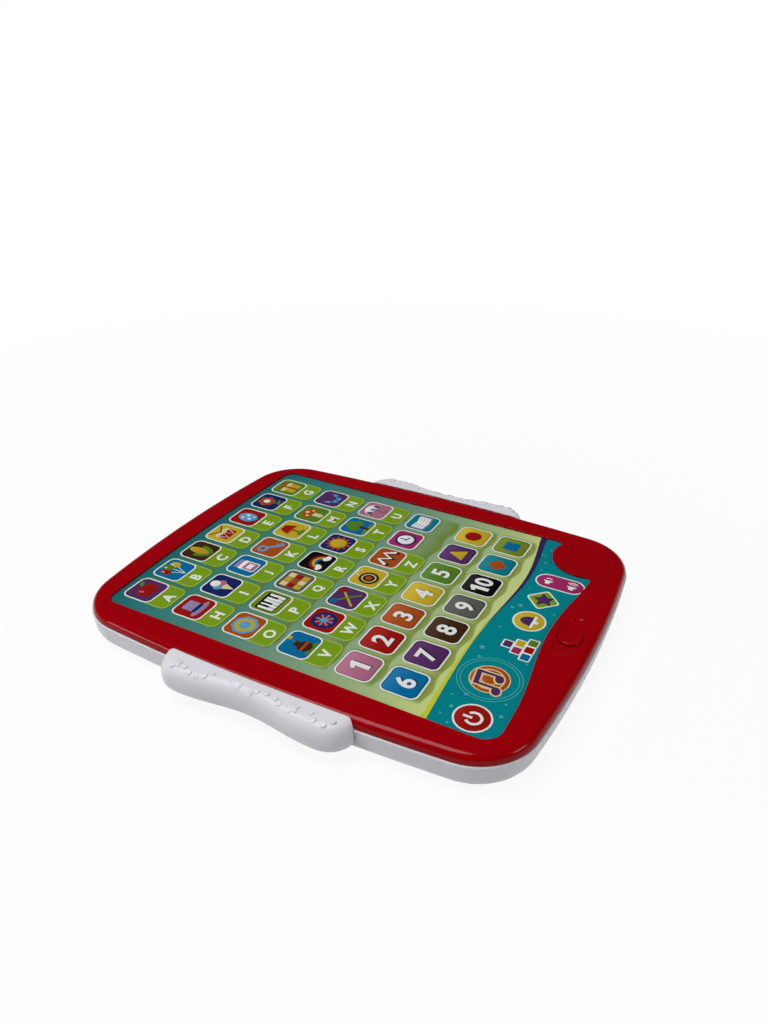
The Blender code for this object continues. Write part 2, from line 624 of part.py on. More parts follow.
def build_rear_shell(notches):
    """The white tray: rounded back edge, rim with a locating tongue, battery bay and screw wells."""
    tongue_top = PARTING_Z + TONGUE_RISE
    thick_z = PARTING_Z - 2 * TONGUE_THICKNESS
    back = BACK_RADIUS + SHELL_DRAFT
    rings = arc_rings(back, BACK_RADIUS, BACK_RADIUS, -90, 0, BACK_STEPS)
    rings += arc_rings(RIM_RADIUS, PARTING_Z - RIM_RADIUS, RIM_RADIUS, 0, 90, 2)
    rings += [raised(body_outline(TONGUE_OUTER), PARTING_Z),
              raised(body_outline(TONGUE_OUTER), tongue_top),
              raised(body_outline(TONGUE_INNER), tongue_top),
              raised(body_outline(TONGUE_INNER), thick_z),
              raised(body_outline(SHELL_WALL + SHELL_DRAFT / 2), thick_z - 2 * TONGUE_THICKNESS)]
    rings += arc_rings(back, BACK_RADIUS, BACK_RADIUS - SHELL_WALL, 0, -90, BACK_STEPS - 2)
    shell = place("rear_shell", loft("rear_shell", rings), WHITE)

    inner_half, inner_wide = BAY_LENGTH / 2, BAY_WIDTH / 2
    bay_half, bay_wide = inner_half + BAY_WALL, inner_wide + BAY_WALL
    frame_half = DOOR_HALF + DOOR_FRAME_WALL
    frame = rounded_box(frame_half, DOOR_FOOT - DOOR_FRAME_WALL - DOOR_TAB[1],
                        DOOR_HEAD + DOOR_FRAME_WALL, DOOR_CORNER)
    wells = cylinders("screw_wells", POSTS, WELL_RADIUS + WELL_WALL, MM, WELL_DEPTH + WELL_FLOOR)
    join(shell,
         cutter(slab("door_frame", frame, MM, DOOR_FRAME_TOP)),
         cutter(boxes("bay_walls", [((-bay_half, BAY_Y - bay_wide, 2 * MM),
                                     (bay_half, BAY_Y + bay_wide, BAY_TOP))])),
         cutter(wells))

    rebate = rounded_box(DOOR_HALF + FIT, DOOR_FOOT - FIT, DOOR_HEAD + FIT, DOOR_CORNER + FIT)
    pockets = [((x - DOOR_TAB[0] / 2 - FIT, DOOR_FOOT - DOOR_TAB[1] - FIT, SHELL_FLOOR),
                (x + DOOR_TAB[0] / 2 + FIT, DOOR_FOOT + DOOR_TAB[1] + DOOR_FRAME_RISE - 2 * FIT,
                 DOOR_FRAME_TOP - DOOR_TAB[2]))
               for x in (-DOOR_TAB_AT, DOOR_TAB_AT)]
    tongue_y, tongue_z = GRIP_TONGUE
    slots = []
    for side in (-1, 1):
        for y in GRIP_TONGUES_Y:
            inner, outer = sorted((side * (HALF_WIDTH - BACK_RADIUS), side * (HALF_WIDTH + FIT)))
            slots.append(((inner, y - tongue_y / 2 - FIT, GRIP_TONGUE_Z - FIT),
                          (outer, y + tongue_y / 2 + FIT, GRIP_TONGUE_Z + tongue_z + FIT)))
    lead_holes = [(side * (inner_half + BAY_WALL / 2), y) for side, y in LEAD_EXITS]
    cut(shell,
        cutter(slab("door_rebate", rebate, -MM, DOOR_TOP + FIT)),
        cutter(boxes("bay_hollow", [((-inner_half, BAY_Y - inner_wide, -MM),
                                     (inner_half, BAY_Y + inner_wide, BAY_CEILING))])),
        cutter(boxes("tab_pockets", pockets)),
        cutter(cylinders("door_pilot", [(0, DOOR_SCREW_Y)], PILOT_RADIUS + 2 * FIT,
                         0, DOOR_FRAME_TOP - DOOR_TAB[2])),
        cutter(cylinders("well_bores", POSTS, WELL_RADIUS, -MM, WELL_DEPTH)),
        cutter(cylinders("well_holes", POSTS, PILOT_RADIUS, 0, BAY_CEILING, sides=10)),
        cutter(boxes("grip_slots", slots)),
        cutter(boxes("lead_holes", [
            ((x - BAY_WALL, y - LEAD_DIAMETER, LEAD_Z - LEAD_DIAMETER),
             (x + BAY_WALL, y + LEAD_DIAMETER, LEAD_Z + LEAD_DIAMETER)) for x, y in lead_holes])),
        notches)


def build_front_bezel():
    """The red frame: a shallow lid with the window, the speaker grille and the home button's scoop."""
    outer, inner = BEZEL_SETBACK, BEZEL_SETBACK + BEZEL_WALL
    rings = [raised(body_outline(inner + SHOULDER_RADIUS), PLATE_Z),
             raised(body_outline(inner), PLATE_Z - SHOULDER_RADIUS / 2),
             raised(body_outline(inner), PARTING_Z + FIT),
             raised(body_outline(outer), PARTING_Z + FIT)]
    rings += shoulder_rings(SHOULDER_RADIUS)
    bezel = place("front_bezel", loft("front_bezel", rings), RED)

    ring_radius = SPEAKER_DIAMETER / 2 + FIT
    ring = turned("speaker_ring", [(ring_radius + SPEAKER_RING_WALL, PLATE_Z + MM),
                                   (ring_radius + SPEAKER_RING_WALL, PLATE_Z - SPEAKER_RING_DROP),
                                   (ring_radius, PLATE_Z - SPEAKER_RING_DROP),
                                   (ring_radius, PLATE_Z + MM)], 32, closed=True)
    ring.transform(Matrix.Translation((*SPEAKER, 0)))
    pad = ellipse(SCOOP_LENGTH / 2 + SCOOP_PAD, SCOOP_WIDTH / 2 - FIT, (0, BUTTON_Y), 28)
    stakes = cylinders("stakes", STAKES, STAKE_DIAMETER / 2, PANEL_Z - FIT - STAKE_HEAD_HEIGHT / 2,
                       PLATE_Z + MM, sides=10)
    heads = cylinders("stake_heads", STAKES, STAKE_HEAD / 2, PANEL_Z - FIT - STAKE_HEAD_HEIGHT,
                      PANEL_Z - FIT, sides=10)
    join(bezel,
         cutter(cylinders("case_posts", POSTS, POST_DIAMETER / 2, POST_END_Z, PLATE_Z + MM)),
         cutter(ring),
         cutter(slab("scoop_pad", pad, SCOOP_PAD_Z, PLATE_Z + MM)),
         cutter(cylinders("button_posts", BUTTON_POSTS, BUTTON_POST_DIAMETER / 2,
                          BUTTON_BOARD_TOP + FIT, SCOOP_PAD_Z + MM)),
         cutter(stakes),
         cutter(heads))

    edge = [(0, PRINT_Z), (0, FACE_Z - WINDOW_EDGE_RADIUS)]
    for angle in (30, 60, 90):
        turn = math.radians(angle)
        edge.append((WINDOW_EDGE_RADIUS * (1 - math.cos(turn)),
                     FACE_Z - WINDOW_EDGE_RADIUS * (1 - math.sin(turn))))
    edge.append((WINDOW_EDGE_RADIUS, FACE_Z + MM))
    opening = loft("window_opening", [raised(window_outline(grow), z) for grow, z in edge])
    rabbet = slab("overlay_rabbet", window_outline(RABBET_GROW), SENSOR_Z - FIT, PRINT_Z + FIT)
    bm = bmesh.new()
    bowl = Matrix.Diagonal((SCOOP_LENGTH / 2, SCOOP_WIDTH / 2, SCOOP_DEPTH, 1))
    bmesh.ops.create_uvsphere(bm, u_segments=28, v_segments=12, radius=1,
                              matrix=Matrix.Translation((0, BUTTON_Y, FACE_Z)) @ bowl)
    holes, dimples = [], []
    for index, (radius, count) in enumerate(GRILLE_RINGS):
        for step in range(count):
            angle = 2 * math.pi * (step + (index + 1) / 2) / count
            bored = holes if radius + GRILLE_HOLE / 2 < ring_radius else dimples
            bored.append(SPEAKER + radius * Vector((math.cos(angle), math.sin(angle))))
    cut(bezel,
        cutter(rabbet),
        cutter(opening),
        cutter(finished(bm, "button_scoop")),
        cutter(cylinders("button_hole", [(0, BUTTON_Y)], BUTTON_DIAMETER / 2 + FIT,
                         SCOOP_PAD_Z - MM, FACE_Z + MM, sides=32)),
        cutter(cylinders("grille_holes", holes, GRILLE_HOLE / 2, PLATE_Z - MM, FACE_Z + MM, sides=6)),
        cutter(cylinders("grille_dimples", dimples, GRILLE_HOLE / 2, FACE_Z - DIMPLE_DEPTH,
                         FACE_Z + MM, sides=6)),
        cutter(cylinders("post_pilots", POSTS, PILOT_RADIUS, POST_END_Z - MM, PLATE_Z, sides=10)),
        cutter(cylinders("button_pilots", BUTTON_POSTS, PILOT_RADIUS,
                         BUTTON_BOARD_TOP, SCOOP_PAD_Z + FIT, sides=10)))


def ellipse(half_x, half_y, centre, count):
    angles = [2 * math.pi * step / count for step in range(count)]
    return [(centre[0] + half_x * math.cos(a), centre[1] + half_y * math.sin(a)) for a in angles]


def grip_marks(name):
    """Low stars and tapered dots standing on a right-hand grip's top, with their feet sunk into it."""
    dots = []
    for along, out, reach_along, reach_out, first, last, count in DOT_ARCS:
        for step in range(count):
            angle = math.radians(first + (last - first) * step / (count - 1))
            dots.append((along + reach_along * math.cos(angle), out + reach_out * math.sin(angle)))
    bm = bmesh.new()
    for places, radius, sides in ((dots, DOT_RADIUS, 6), (STARS, STAR_RADIUS, 10)):
        for along, out in places:
            foot = Vector((HALF_WIDTH + out, GRIP_Y + along, grip_top_z(along, out) - MARK_RISE / 2))
            made = bmesh.ops.create_cone(bm, cap_ends=True, segments=sides, radius1=radius,
                                         radius2=0.7 * radius, depth=3 * MARK_RISE,
                                         matrix=Matrix.Translation(foot))
            if sides == 10:
                for vert in made["verts"][::4] + made["verts"][1::4]:
                    vert.co.xy = foot.xy + 0.5 * (vert.co.xy - foot.xy)
    return finished(bm, name)


def build_grips():
    """Two white hand grips, hollow behind, that hook through slots in the rear shell's sides."""
    height = GRIP_TOP - GRIP_BOTTOM
    rings = [raised(grip_outline(GRIP_REACH * inset), GRIP_BOTTOM + height * rise)
             for inset, rise in GRIP_SECTION]
    body_rings = [raised(body_outline(-FIT), -MM), raised(body_outline(-FIT), PARTING_Z),
                  raised(body_outline(BEZEL_SETBACK - FIT), PARTING_Z + FIT)]
    body = cutter(loft("grip_fit", body_rings + shoulder_rings(SHOULDER_RADIUS + FIT)))
    half_y, tall = GRIP_TONGUE[0] / 2, GRIP_TONGUE[1]
    root = HALF_WIDTH + FIT + GRIP_WALL
    catch = side_x(GRIP_TONGUE_AT + GRIP_TONGUE[0]) - SHELL_WALL - SHELL_DRAFT - FIT
    tip = catch - 2 * GRIP_HOOK
    tongues = [((tip, y - half_y, GRIP_TONGUE_Z), (root, y + half_y, GRIP_TONGUE_Z + tall))
               for y in GRIP_TONGUES_Y]
    hooks = [((tip, y - half_y, GRIP_TONGUE_Z - GRIP_HOOK), (catch, y + half_y, GRIP_TONGUE_Z + GRIP_HOOK))
             for y in GRIP_TONGUES_Y]
    low, high = GRIP_TONGUES_Y
    clear = half_y + GRIP_WALL
    hollow = [((HALF_WIDTH - BACK_RADIUS, low + clear, GRIP_BOTTOM + GRIP_WALL),
               (HALF_WIDTH + GRIP_REACH - GRIP_DIP - GRIP_WALL, high - clear, GRIP_TOP - GRIP_WALL))]
    for name, side in (("right_grip", 1), ("left_grip", -1)):
        turn = Matrix.Diagonal((side, 1, 1, 1))
        meshes = [loft(name, rings)]
        meshes += [boxes(f"{name}_{label}", pairs)
                   for label, pairs in (("hollow", hollow), ("tongues", tongues), ("hooks", hooks))]
        meshes.append(grip_marks(f"{name}_marks"))
        for mesh in meshes:
            mesh.transform(turn)
            if side < 0:
                mesh.flip_normals()
        grip = place(name, meshes[0], WHITE)
        extras = [cutter(mesh) for mesh in meshes[1:]]
        cut(grip, body, extras[0])
        join(grip, *extras[1:])


# Touch surface

def build_touch_stack(notches):
    """The printed film, the sensor film under it, and the panel that carries both."""
    sheet = window_outline(OVERLAY_LAP)
    place("printed_overlay", slab("printed_overlay", sheet, OVERLAY_Z, PRINT_Z), PRINT)
    place("sensor_sheet", slab("sensor_sheet", sheet, SENSOR_Z, SENSOR_Z + SENSOR_THICKNESS), FILM)

    edge = body_outline(TONGUE_INNER + 2 * FIT)
    panel = place("backing_panel", slab("backing_panel", edge, PANEL_Z, PANEL_Z + PANEL_THICKNESS), GREY)
    join(panel, cutter(cylinders("standoffs", BOARD_HOLES, STANDOFF_DIAMETER / 2,
                                 BOARD_TOP + FIT, PANEL_Z + MM)))
    ring_clear = SPEAKER_DIAMETER / 2 + SPEAKER_RING_WALL + 2 * FIT
    low, high = PANEL_Z - MM, FACE_Z
    tail_half = TAIL_WIDTH / 2 + FIT
    pad_half = SCOOP_LENGTH / 2 + 2 * SCOOP_PAD
    pad_head = BUTTON_Y + BUTTON_DIAMETER / 2 + BUTTON_FLANGE + 2 * FIT
    cut(panel,
        notches,
        cutter(cylinders("speaker_clearance", [SPEAKER], ring_clear, low, high, sides=32)),
        cutter(boxes("corner_clearance", [
            ((SPEAKER.x, -HALF_HEIGHT, low - FIT), (HALF_WIDTH, SPEAKER.y, high + FIT))])),
        cutter(boxes("button_clearance", [((-pad_half, -HALF_HEIGHT, low), (pad_half, pad_head, high))])),
        cutter(cylinders("stake_holes", STAKES, STAKE_DIAMETER / 2 + FIT, low, high, sides=10)),
        cutter(cylinders("board_pilots", BOARD_HOLES, PILOT_RADIUS,
                         BOARD_TOP, PANEL_Z + PANEL_THICKNESS / 2, sides=10)),
        cutter(boxes("tail_slot", [
            ((-tail_half, TAIL_Y - 4 * FIT, low), (tail_half, TAIL_Y + 4 * FIT, high))])))


# Home button

def build_home_button():
    """The push button, the silicone dome that returns it, and its small switch board."""
    radius = BUTTON_DIAMETER / 2
    base = Vector((0, BUTTON_Y, BUTTON_FLANGE_Z))
    top = FACE_Z - BUTTON_FLANGE_Z
    flange_radius = radius + BUTTON_FLANGE
    plunger = FIT
    profile = [(0, top - 2 * FIT), (0.55 * radius, top - FIT), (radius - SHOULDER_RADIUS, top),
               (radius - SHOULDER_RADIUS / 3, top - SHOULDER_RADIUS / 3), (radius, top - SHOULDER_RADIUS),
               (radius, BUTTON_FLANGE), (flange_radius, BUTTON_FLANGE), (flange_radius, 0),
               (DOME_RADIUS / 2, 0), (DOME_RADIUS / 2, -plunger), (0, -plunger)]
    place("home_button", turned("home_button", profile, 24), RED, base)

    height = DOME_HEIGHT
    dome = [(0, height), (DOME_RADIUS / 2, height), (0.6 * DOME_RADIUS, 0.8 * height),
            (0.72 * DOME_RADIUS, 0.3 * height), (DOME_RADIUS, 0.26 * height), (DOME_RADIUS, 0), (0, 0)]
    place("button_dome", turned("button_dome", dome, 20), RUBBER, (0, BUTTON_Y, BUTTON_BOARD_TOP + FIT))

    half_x, half_y = BUTTON_BOARD_SIZE[0] / 2, BUTTON_BOARD_SIZE[1] / 2
    outline = rounded_box(half_x, BUTTON_Y - half_y, BUTTON_Y + half_y, 2 * MM)
    board = place("button_board", slab("button_board", outline, BUTTON_BOARD_Z, BUTTON_BOARD_TOP), BOARD)
    cut(board, cutter(cylinders("button_board_holes", BUTTON_POSTS, PILOT_RADIUS,
                                BUTTON_BOARD_Z - MM, BUTTON_BOARD_TOP + MM, sides=10)))
    length = SCOOP_PAD_Z - BUTTON_BOARD_Z
    for index, (x, y) in enumerate(BUTTON_POSTS, 1):
        add_screw(f"button_board_screw_{index}", length - FIT, (x, y, BUTTON_BOARD_Z - FIT))


# Screws

SCREW_MESHES = {}


def cross_recess(bottom, top):
    """A plus-shaped cutter for a screw head."""
    long, short = 0.3 * SCREW_HEAD, 0.08 * SCREW_HEAD
    arm = [(short, -short), (long, -short), (long, short)]
    outline = [Matrix.Rotation(quarter * math.pi / 2, 2) @ Vector(point)
               for quarter in range(4) for point in arm]
    return slab("cross_recess", outline, bottom, top)


def carved(blank, tool):
    """The first mesh with the second cut out of it."""
    helper = bpy.data.objects.new(blank.name, blank)
    bpy.context.scene.collection.objects.link(helper)
    boolean(helper, cutter(tool), "DIFFERENCE")
    graph = bpy.context.evaluated_depsgraph_get()
    mesh = bpy.data.meshes.new_from_object(helper.evaluated_get(graph))
    bpy.data.objects.remove(helper)
    return mesh


def add_screw(name, length, under_head):
    """A pan-head screw with a cross recess, pointing up from the underside of its head."""
    key = round(length / MM, 3)
    if key not in SCREW_MESHES:
        head, shaft, tall = SCREW_HEAD / 2, SCREW_SHAFT / 2, SCREW_HEAD_HEIGHT
        profile = [(0, length), (shaft / 2, length - shaft), (shaft, length - 2 * shaft), (shaft, 0),
                   (head, 0), (head, -0.45 * tall), (0.7 * head, -tall), (0, -tall)]
        SCREW_MESHES[key] = carved(turned("screw", profile, 8), cross_recess(-tall - MM, -0.4 * tall))
    return place(name, SCREW_MESHES[key], STEEL, under_head)


def build_case_screws():
    length = PANEL_Z - WELL_DEPTH
    for index, (x, y) in enumerate(POSTS, 1):
        add_screw(f"case_screw_{index}", length, (x, y, WELL_DEPTH - FIT))


# Power

def build_battery_door():
    """The door in the back: two tabs hook inside the shell and a screw holds the other edge."""
    hinge = Vector((0, DOOR_FOOT, 0))
    outline = rounded_box(DOOR_HALF, DOOR_FOOT, DOOR_HEAD, DOOR_CORNER)
    mesh = slab("battery_door", [point - hinge.xy for point in outline], DOOR_RECESS, DOOR_TOP)
    door = place("battery_door", mesh, WHITE, hinge)
    wide, reach, thick = DOOR_TAB
    floor = SHELL_FLOOR + FIT
    arms, risers = [], []
    for x in (-DOOR_TAB_AT, DOOR_TAB_AT):
        arms.append(((x - wide / 2, DOOR_FOOT - reach, floor),
                     (x + wide / 2, DOOR_FOOT + reach, floor + thick)))
        risers.append(((x - wide / 2, DOOR_FOOT + 2 * FIT, DOOR_TOP - MM),
                       (x + wide / 2, DOOR_FOOT + reach, floor + thick / 2)))
    join(door, cutter(boxes("door_risers", risers)), cutter(boxes("door_arms", arms)))
    bars_y = [DOOR_HEAD - DOOR_SCREW_MARGIN - DOOR_BAR_PITCH * (index + 1) for index in range(3)]
    grip_bars = [((-DOOR_SCREW_MARGIN, y, -MM), (DOOR_SCREW_MARGIN, y + MM, 2 * DOOR_RECESS))
                 for y in bars_y]
    cut(door,
        cutter(cylinders("door_screw_hole", [(0, DOOR_SCREW_Y)], PILOT_RADIUS, -MM, DOOR_TOP + MM)),
        cutter(cylinders("door_screw_seat", [(0, DOOR_SCREW_Y)], WELL_RADIUS, -MM, DOOR_TOP - 2 * FIT)),
        cutter(boxes("door_grip_bars", grip_bars)))
    head = SCREW_HEAD / 2
    shaft = SCREW_SHAFT / 2
    length = DOOR_FRAME_TOP - DOOR_TAB[2] - DOOR_TOP - FIT
    under = DOOR_TOP - 3 * FIT
    flat = DOOR_RECESS - under
    profile = [(0, length), (shaft / 2, length - shaft), (shaft, length - 2 * shaft), (shaft, 0),
               (head, 0), (head, flat + FIT), (0.8 * head, flat), (0, flat)]
    screw = carved(turned("door_screw", profile, 12), cross_recess(flat - MM, flat / 2))
    place("door_screw", screw, STEEL, (0, DOOR_SCREW_Y, under))


def build_cells():
    """Cells lying side by side, turned end for end, with their contacts and conical springs."""
    radius = CELL_DIAMETER / 2
    body = CELL_LENGTH - CELL_NUB
    nub = 0.36 * radius
    rim = 0.5 * MM
    profile = [(0, CELL_LENGTH), (nub, CELL_LENGTH), (nub, body), (radius - rim, body),
               (radius, body - rim), (radius, rim), (radius - rim, 0), (0, 0)]
    mesh = turned("cell", profile, 18)
    for index, y in enumerate(CELLS_Y):
        way = 1 if index % 2 == 0 else -1
        foot = -way * (CONTACT_X - CONTACT_THICKNESS / 2 - FIT - SPRING_LENGTH)
        place(f"cell_{index + 1}", mesh, CELL, (foot, y, CELL_Z), (0, way * math.pi / 2, 0))
        add_spring(f"cell_spring_{index + 1}", y, way)
    low, high = DOOR_TOP + 2 * FIT, BAY_CEILING - FIT
    half = CELL_DIAMETER / 2 - 2 * FIT
    spans = (("negative_contact", -1, CELLS_Y[0], CELLS_Y[0]), ("left_bridge", -1, CELLS_Y[1], CELLS_Y[-1]),
             ("right_bridge", 1, CELLS_Y[0], CELLS_Y[1]), ("positive_contact", 1, CELLS_Y[-1], CELLS_Y[-1]))
    for name, side, first, last in spans:
        outline = rounded_box((last - first) / 2 + half, low, high, 1.5 * MM)
        plate = slab(name, outline, -CONTACT_THICKNESS / 2, CONTACT_THICKNESS / 2)
        upright = Matrix(((0, 0, 1, 0), (1, 0, 0, 0), (0, 1, 0, 0), (0, 0, 0, 1)))
        plate.transform(upright)
        place(name, plate, STEEL, (side * CONTACT_X, (first + last) / 2, 0))


def spring_points():
    """A conical helix along +X with straight ends, wide at the contact and narrow at the cell."""
    wide, narrow = 0.62 * CELL_DIAMETER / 2, 0.30 * CELL_DIAMETER / 2
    run = SPRING_LENGTH - 2 * SPRING_WIRE
    steps = 9 * SPRING_TURNS
    points = [Vector((SPRING_WIRE / 2 + FIT / 2, wide, 0))]
    for step in range(steps + 1):
        share = step / steps
        angle = 2 * math.pi * SPRING_TURNS * share
        radius = wide + (narrow - wide) * share
        round_x = Vector((0, math.cos(angle), math.sin(angle)))
        points.append(Vector((SPRING_WIRE + run * share, 0, 0)) + radius * round_x)
    points.append(Vector((SPRING_LENGTH - SPRING_WIRE / 2 - FIT / 2, narrow, 0)))
    return points


def add_spring(name, y, way):
    data = bpy.data.curves.new(name, "CURVE")
    data.dimensions = "3D"
    data.bevel_depth = SPRING_WIRE / 2
    data.bevel_resolution = 0
    data.use_fill_caps = True
    points = spring_points()
    spline = data.splines.new("POLY")
    spline.points.add(len(points) - 1)
    for knot, point in zip(spline.points, points):
        knot.co = (*point, 1)
    start = -way * (CONTACT_X - CONTACT_THICKNESS / 2 - FIT)
    place(name, data, STEEL, (start, y, CELL_Z), (0, 0, 0 if way > 0 else math.pi))


def report_spring_gap():
    points = spring_points()
    apart = 6
    gaps = [(a - b).length - SPRING_WIRE for i, a in enumerate(points) for b in points[i + apart:]]
    print(f"least gap between a spring's curls: {min(gaps) / MM:.2f} mm")


# Electronics

def build_main_board():
    """The circuit board under the backing panel, with its parts, screws and keypad tail."""
    half_x, half_y = BOARD_SIZE[0] / 2, BOARD_SIZE[1] / 2
    outline = rounded_box(half_x, BOARD_Y - half_y, BOARD_Y + half_y, 2 * MM)
    board = place("main_board", slab("main_board", outline, BOARD_Z, BOARD_TOP), BOARD)
    cut(board, cutter(cylinders("board_holes", BOARD_HOLES, PILOT_RADIUS,
                                BOARD_Z - MM, BOARD_TOP + MM, sides=10)))
    for index, (x, y) in enumerate(BOARD_HOLES, 1):
        add_screw(f"board_screw_{index}", PANEL_Z - BOARD_Z, (x, y, BOARD_Z - FIT))
    blob = [(0, 0), (5.5 * MM, 0), (5.0 * MM, -0.7 * MM), (3.4 * MM, -1.3 * MM), (0, -1.5 * MM)]
    place("controller_blob", turned("controller_blob", blob, 16), BLACK, (-14 * MM, BOARD_Y, BOARD_Z - FIT))
    can = [(0, 0), (2.5 * MM, 0), (2.5 * MM, -4.6 * MM), (2.2 * MM, -5.0 * MM), (0, -5.0 * MM)]
    place("capacitor", turned("capacitor", can, 14), BLACK, (16 * MM, BOARD_Y + 8 * MM, BOARD_Z - FIT))
    socket_half = TAIL_WIDTH / 2 + 1.5 * MM
    socket = boxes("tail_socket", [((-socket_half, TAIL_Y - 1.6 * MM, BOARD_TOP + FIT),
                                    (socket_half, TAIL_Y + 1.6 * MM, BOARD_TOP + FIT + 2 * MM))])
    tail_socket = place("tail_socket", socket, GREY)
    bevel = tail_socket.modifiers.new("edges", "BEVEL")
    bevel.width = FIT
    bevel.segments = 1
    foot = BOARD_TOP + 2 * FIT + 2 * MM
    path = [(0, TAIL_Y, foot), (0, TAIL_Y + FIT, (foot + PANEL_Z) / 2), (0, TAIL_Y, PANEL_Z),
            (0, TAIL_Y, SENSOR_Z - FIT)]
    strip("keypad_tail", path, TAIL_WIDTH, 0.2 * MM, FILM)


def build_speaker():
    """A small moving-coil speaker under the grille: gasket, basket, cone and magnet."""
    radius = SPEAKER_DIAMETER / 2
    seat = radius - 2.1 * MM
    flange = 1.0 * MM
    depth = 5.2 * MM
    skin = 0.8 * MM
    back = 0.66 * radius
    centre = (*SPEAKER, FLANGE_TOP)
    gasket = [(radius, GASKET_THICKNESS), (radius, 0), (seat, 0), (seat, GASKET_THICKNESS)]
    place("speaker_gasket", turned("speaker_gasket", gasket, 24, closed=True), FOAM, (*SPEAKER, GASKET_Z))
    basket = [(radius, 0), (radius, -flange), (radius - flange, -flange), (back, -depth), (0, -depth),
              (0, -depth + skin), (back - skin, -depth + skin), (seat, -flange), (seat, 0)]
    place("speaker_basket", turned("speaker_basket", basket, 24, closed=True), STEEL, centre)
    paper = 0.4 * MM
    cap = 0.3 * radius
    deep = 3.4 * MM
    cone = [(0, -deep + 1.6 * MM), (0.7 * cap, -deep + 1.2 * MM), (cap, -deep + paper),
            (seat - 1.6 * MM, -flange + paper), (seat - 0.9 * MM, -flange + 2 * paper),
            (seat - 2 * FIT, -flange + paper), (seat - 2 * FIT, -flange),
            (seat - 0.9 * MM, -flange + paper), (seat - 1.6 * MM, -flange), (cap, -deep), (0, -deep)]
    place("speaker_cone", turned("speaker_cone", cone, 20), PAPER, centre)
    magnet = [(0, 0), (0.58 * radius, 0), (0.6 * radius, -flange / 2), (0.6 * radius, -3.4 * MM),
              (0.56 * radius, -3.8 * MM), (0, -3.8 * MM)]
    place("speaker_magnet", turned("speaker_magnet", magnet, 20), STEEL,
          (*SPEAKER, FLANGE_TOP - depth - FIT))


def build_leads():
    """Leads from the battery contacts and the speaker to the board, and the button's flat cable."""
    out = BAY_LENGTH / 2 / MM
    z = LEAD_Z / MM
    pad_z = (BOARD_TOP + FIT + LEAD_DIAMETER / 2) / MM
    pad_y = (BOARD_Y + BOARD_SIZE[1] / 2) / MM
    pad_x = (BOARD_SIZE[0] / 2 - LEAD_PAD_INSET) / MM
    for name, material, (side, y) in zip(("black_lead", "red_lead"), (BLACK_WIRE, RED_WIRE), LEAD_EXITS):
        y /= MM
        wire(name, [(side * out, y, z), (side * (out + 3.5), y, z), (side * (out + 6.5), y - 5, z),
                    (side * (out + 6), (y + pad_y) / 2, z + 0.6), (side * pad_x, pad_y + 4, pad_z),
                    (side * (pad_x - 1), pad_y - 4, pad_z)], LEAD_DIAMETER, material, 4)
    board_x = BOARD_SIZE[0] / 2 / MM
    board_y = (BOARD_Y - LEAD_PAD_INSET) / MM
    low = (FLANGE_TOP - 7 * MM) / MM
    x = (SPEAKER.x - 0.6 * SPEAKER_DIAMETER / 2 - MM) / MM
    for name, material, shift in (("speaker_lead_red", RED_WIRE, 0),
                                  ("speaker_lead_black", BLACK_WIRE, -4)):
        y = SPEAKER.y / MM + shift + 3
        wire(name, [(x, y, low), (x - 4, y + 2, low), (x - 12, y + 12, low + 0.6),
                    (board_x + 6, board_y - 1 + shift, pad_z), (board_x - 4, board_y + 1 + shift, pad_z)],
             LEAD_DIAMETER, material, 4)
    head = BUTTON_Y + BUTTON_BOARD_SIZE[1] / 2
    board_foot = BOARD_Y - BOARD_SIZE[1] / 2
    path = [(0, head - 3 * MM, BUTTON_BOARD_Z - FIT), (0, head + 1 * MM, BUTTON_BOARD_Z - FIT),
            (0, (head + board_foot) / 2, BUTTON_BOARD_Z - 1.5 * MM), (0, board_foot - MM, BOARD_Z - FIT),
            (0, board_foot + 4 * MM, BOARD_Z - FIT)]
    strip("button_ribbon", path, 5 * MM, 0.2 * MM, FILM)


def main():
    notches = post_notches()
    build_rear_shell(notches)
    build_front_bezel()
    build_grips()
    build_touch_stack(notches)
    build_home_button()
    build_case_screws()
    build_battery_door()
    build_cells()
    build_main_board()
    build_speaker()
    build_leads()
    report_spring_gap()


main()
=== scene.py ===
"""The looks of a kids' toy tablet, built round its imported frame. Metres, +Z up, screen facing up."""

import math

import bmesh
import bpy
from mathutils import Matrix, Vector


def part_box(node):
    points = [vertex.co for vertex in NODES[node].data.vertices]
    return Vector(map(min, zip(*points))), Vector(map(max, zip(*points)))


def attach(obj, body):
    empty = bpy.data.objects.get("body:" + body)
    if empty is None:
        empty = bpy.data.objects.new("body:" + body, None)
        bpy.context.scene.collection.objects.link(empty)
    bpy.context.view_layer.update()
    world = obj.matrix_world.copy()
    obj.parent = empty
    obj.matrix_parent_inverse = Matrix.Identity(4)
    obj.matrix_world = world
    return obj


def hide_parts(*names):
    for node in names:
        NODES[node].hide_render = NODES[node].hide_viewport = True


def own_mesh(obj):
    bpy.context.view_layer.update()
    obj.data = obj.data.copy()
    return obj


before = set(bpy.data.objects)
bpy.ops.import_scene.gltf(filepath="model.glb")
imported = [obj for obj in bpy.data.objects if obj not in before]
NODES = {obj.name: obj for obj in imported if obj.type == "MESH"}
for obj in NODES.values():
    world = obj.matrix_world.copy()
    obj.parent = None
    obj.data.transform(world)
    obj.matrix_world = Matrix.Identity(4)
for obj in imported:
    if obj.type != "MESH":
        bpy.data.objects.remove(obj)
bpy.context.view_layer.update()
MM = 0.001

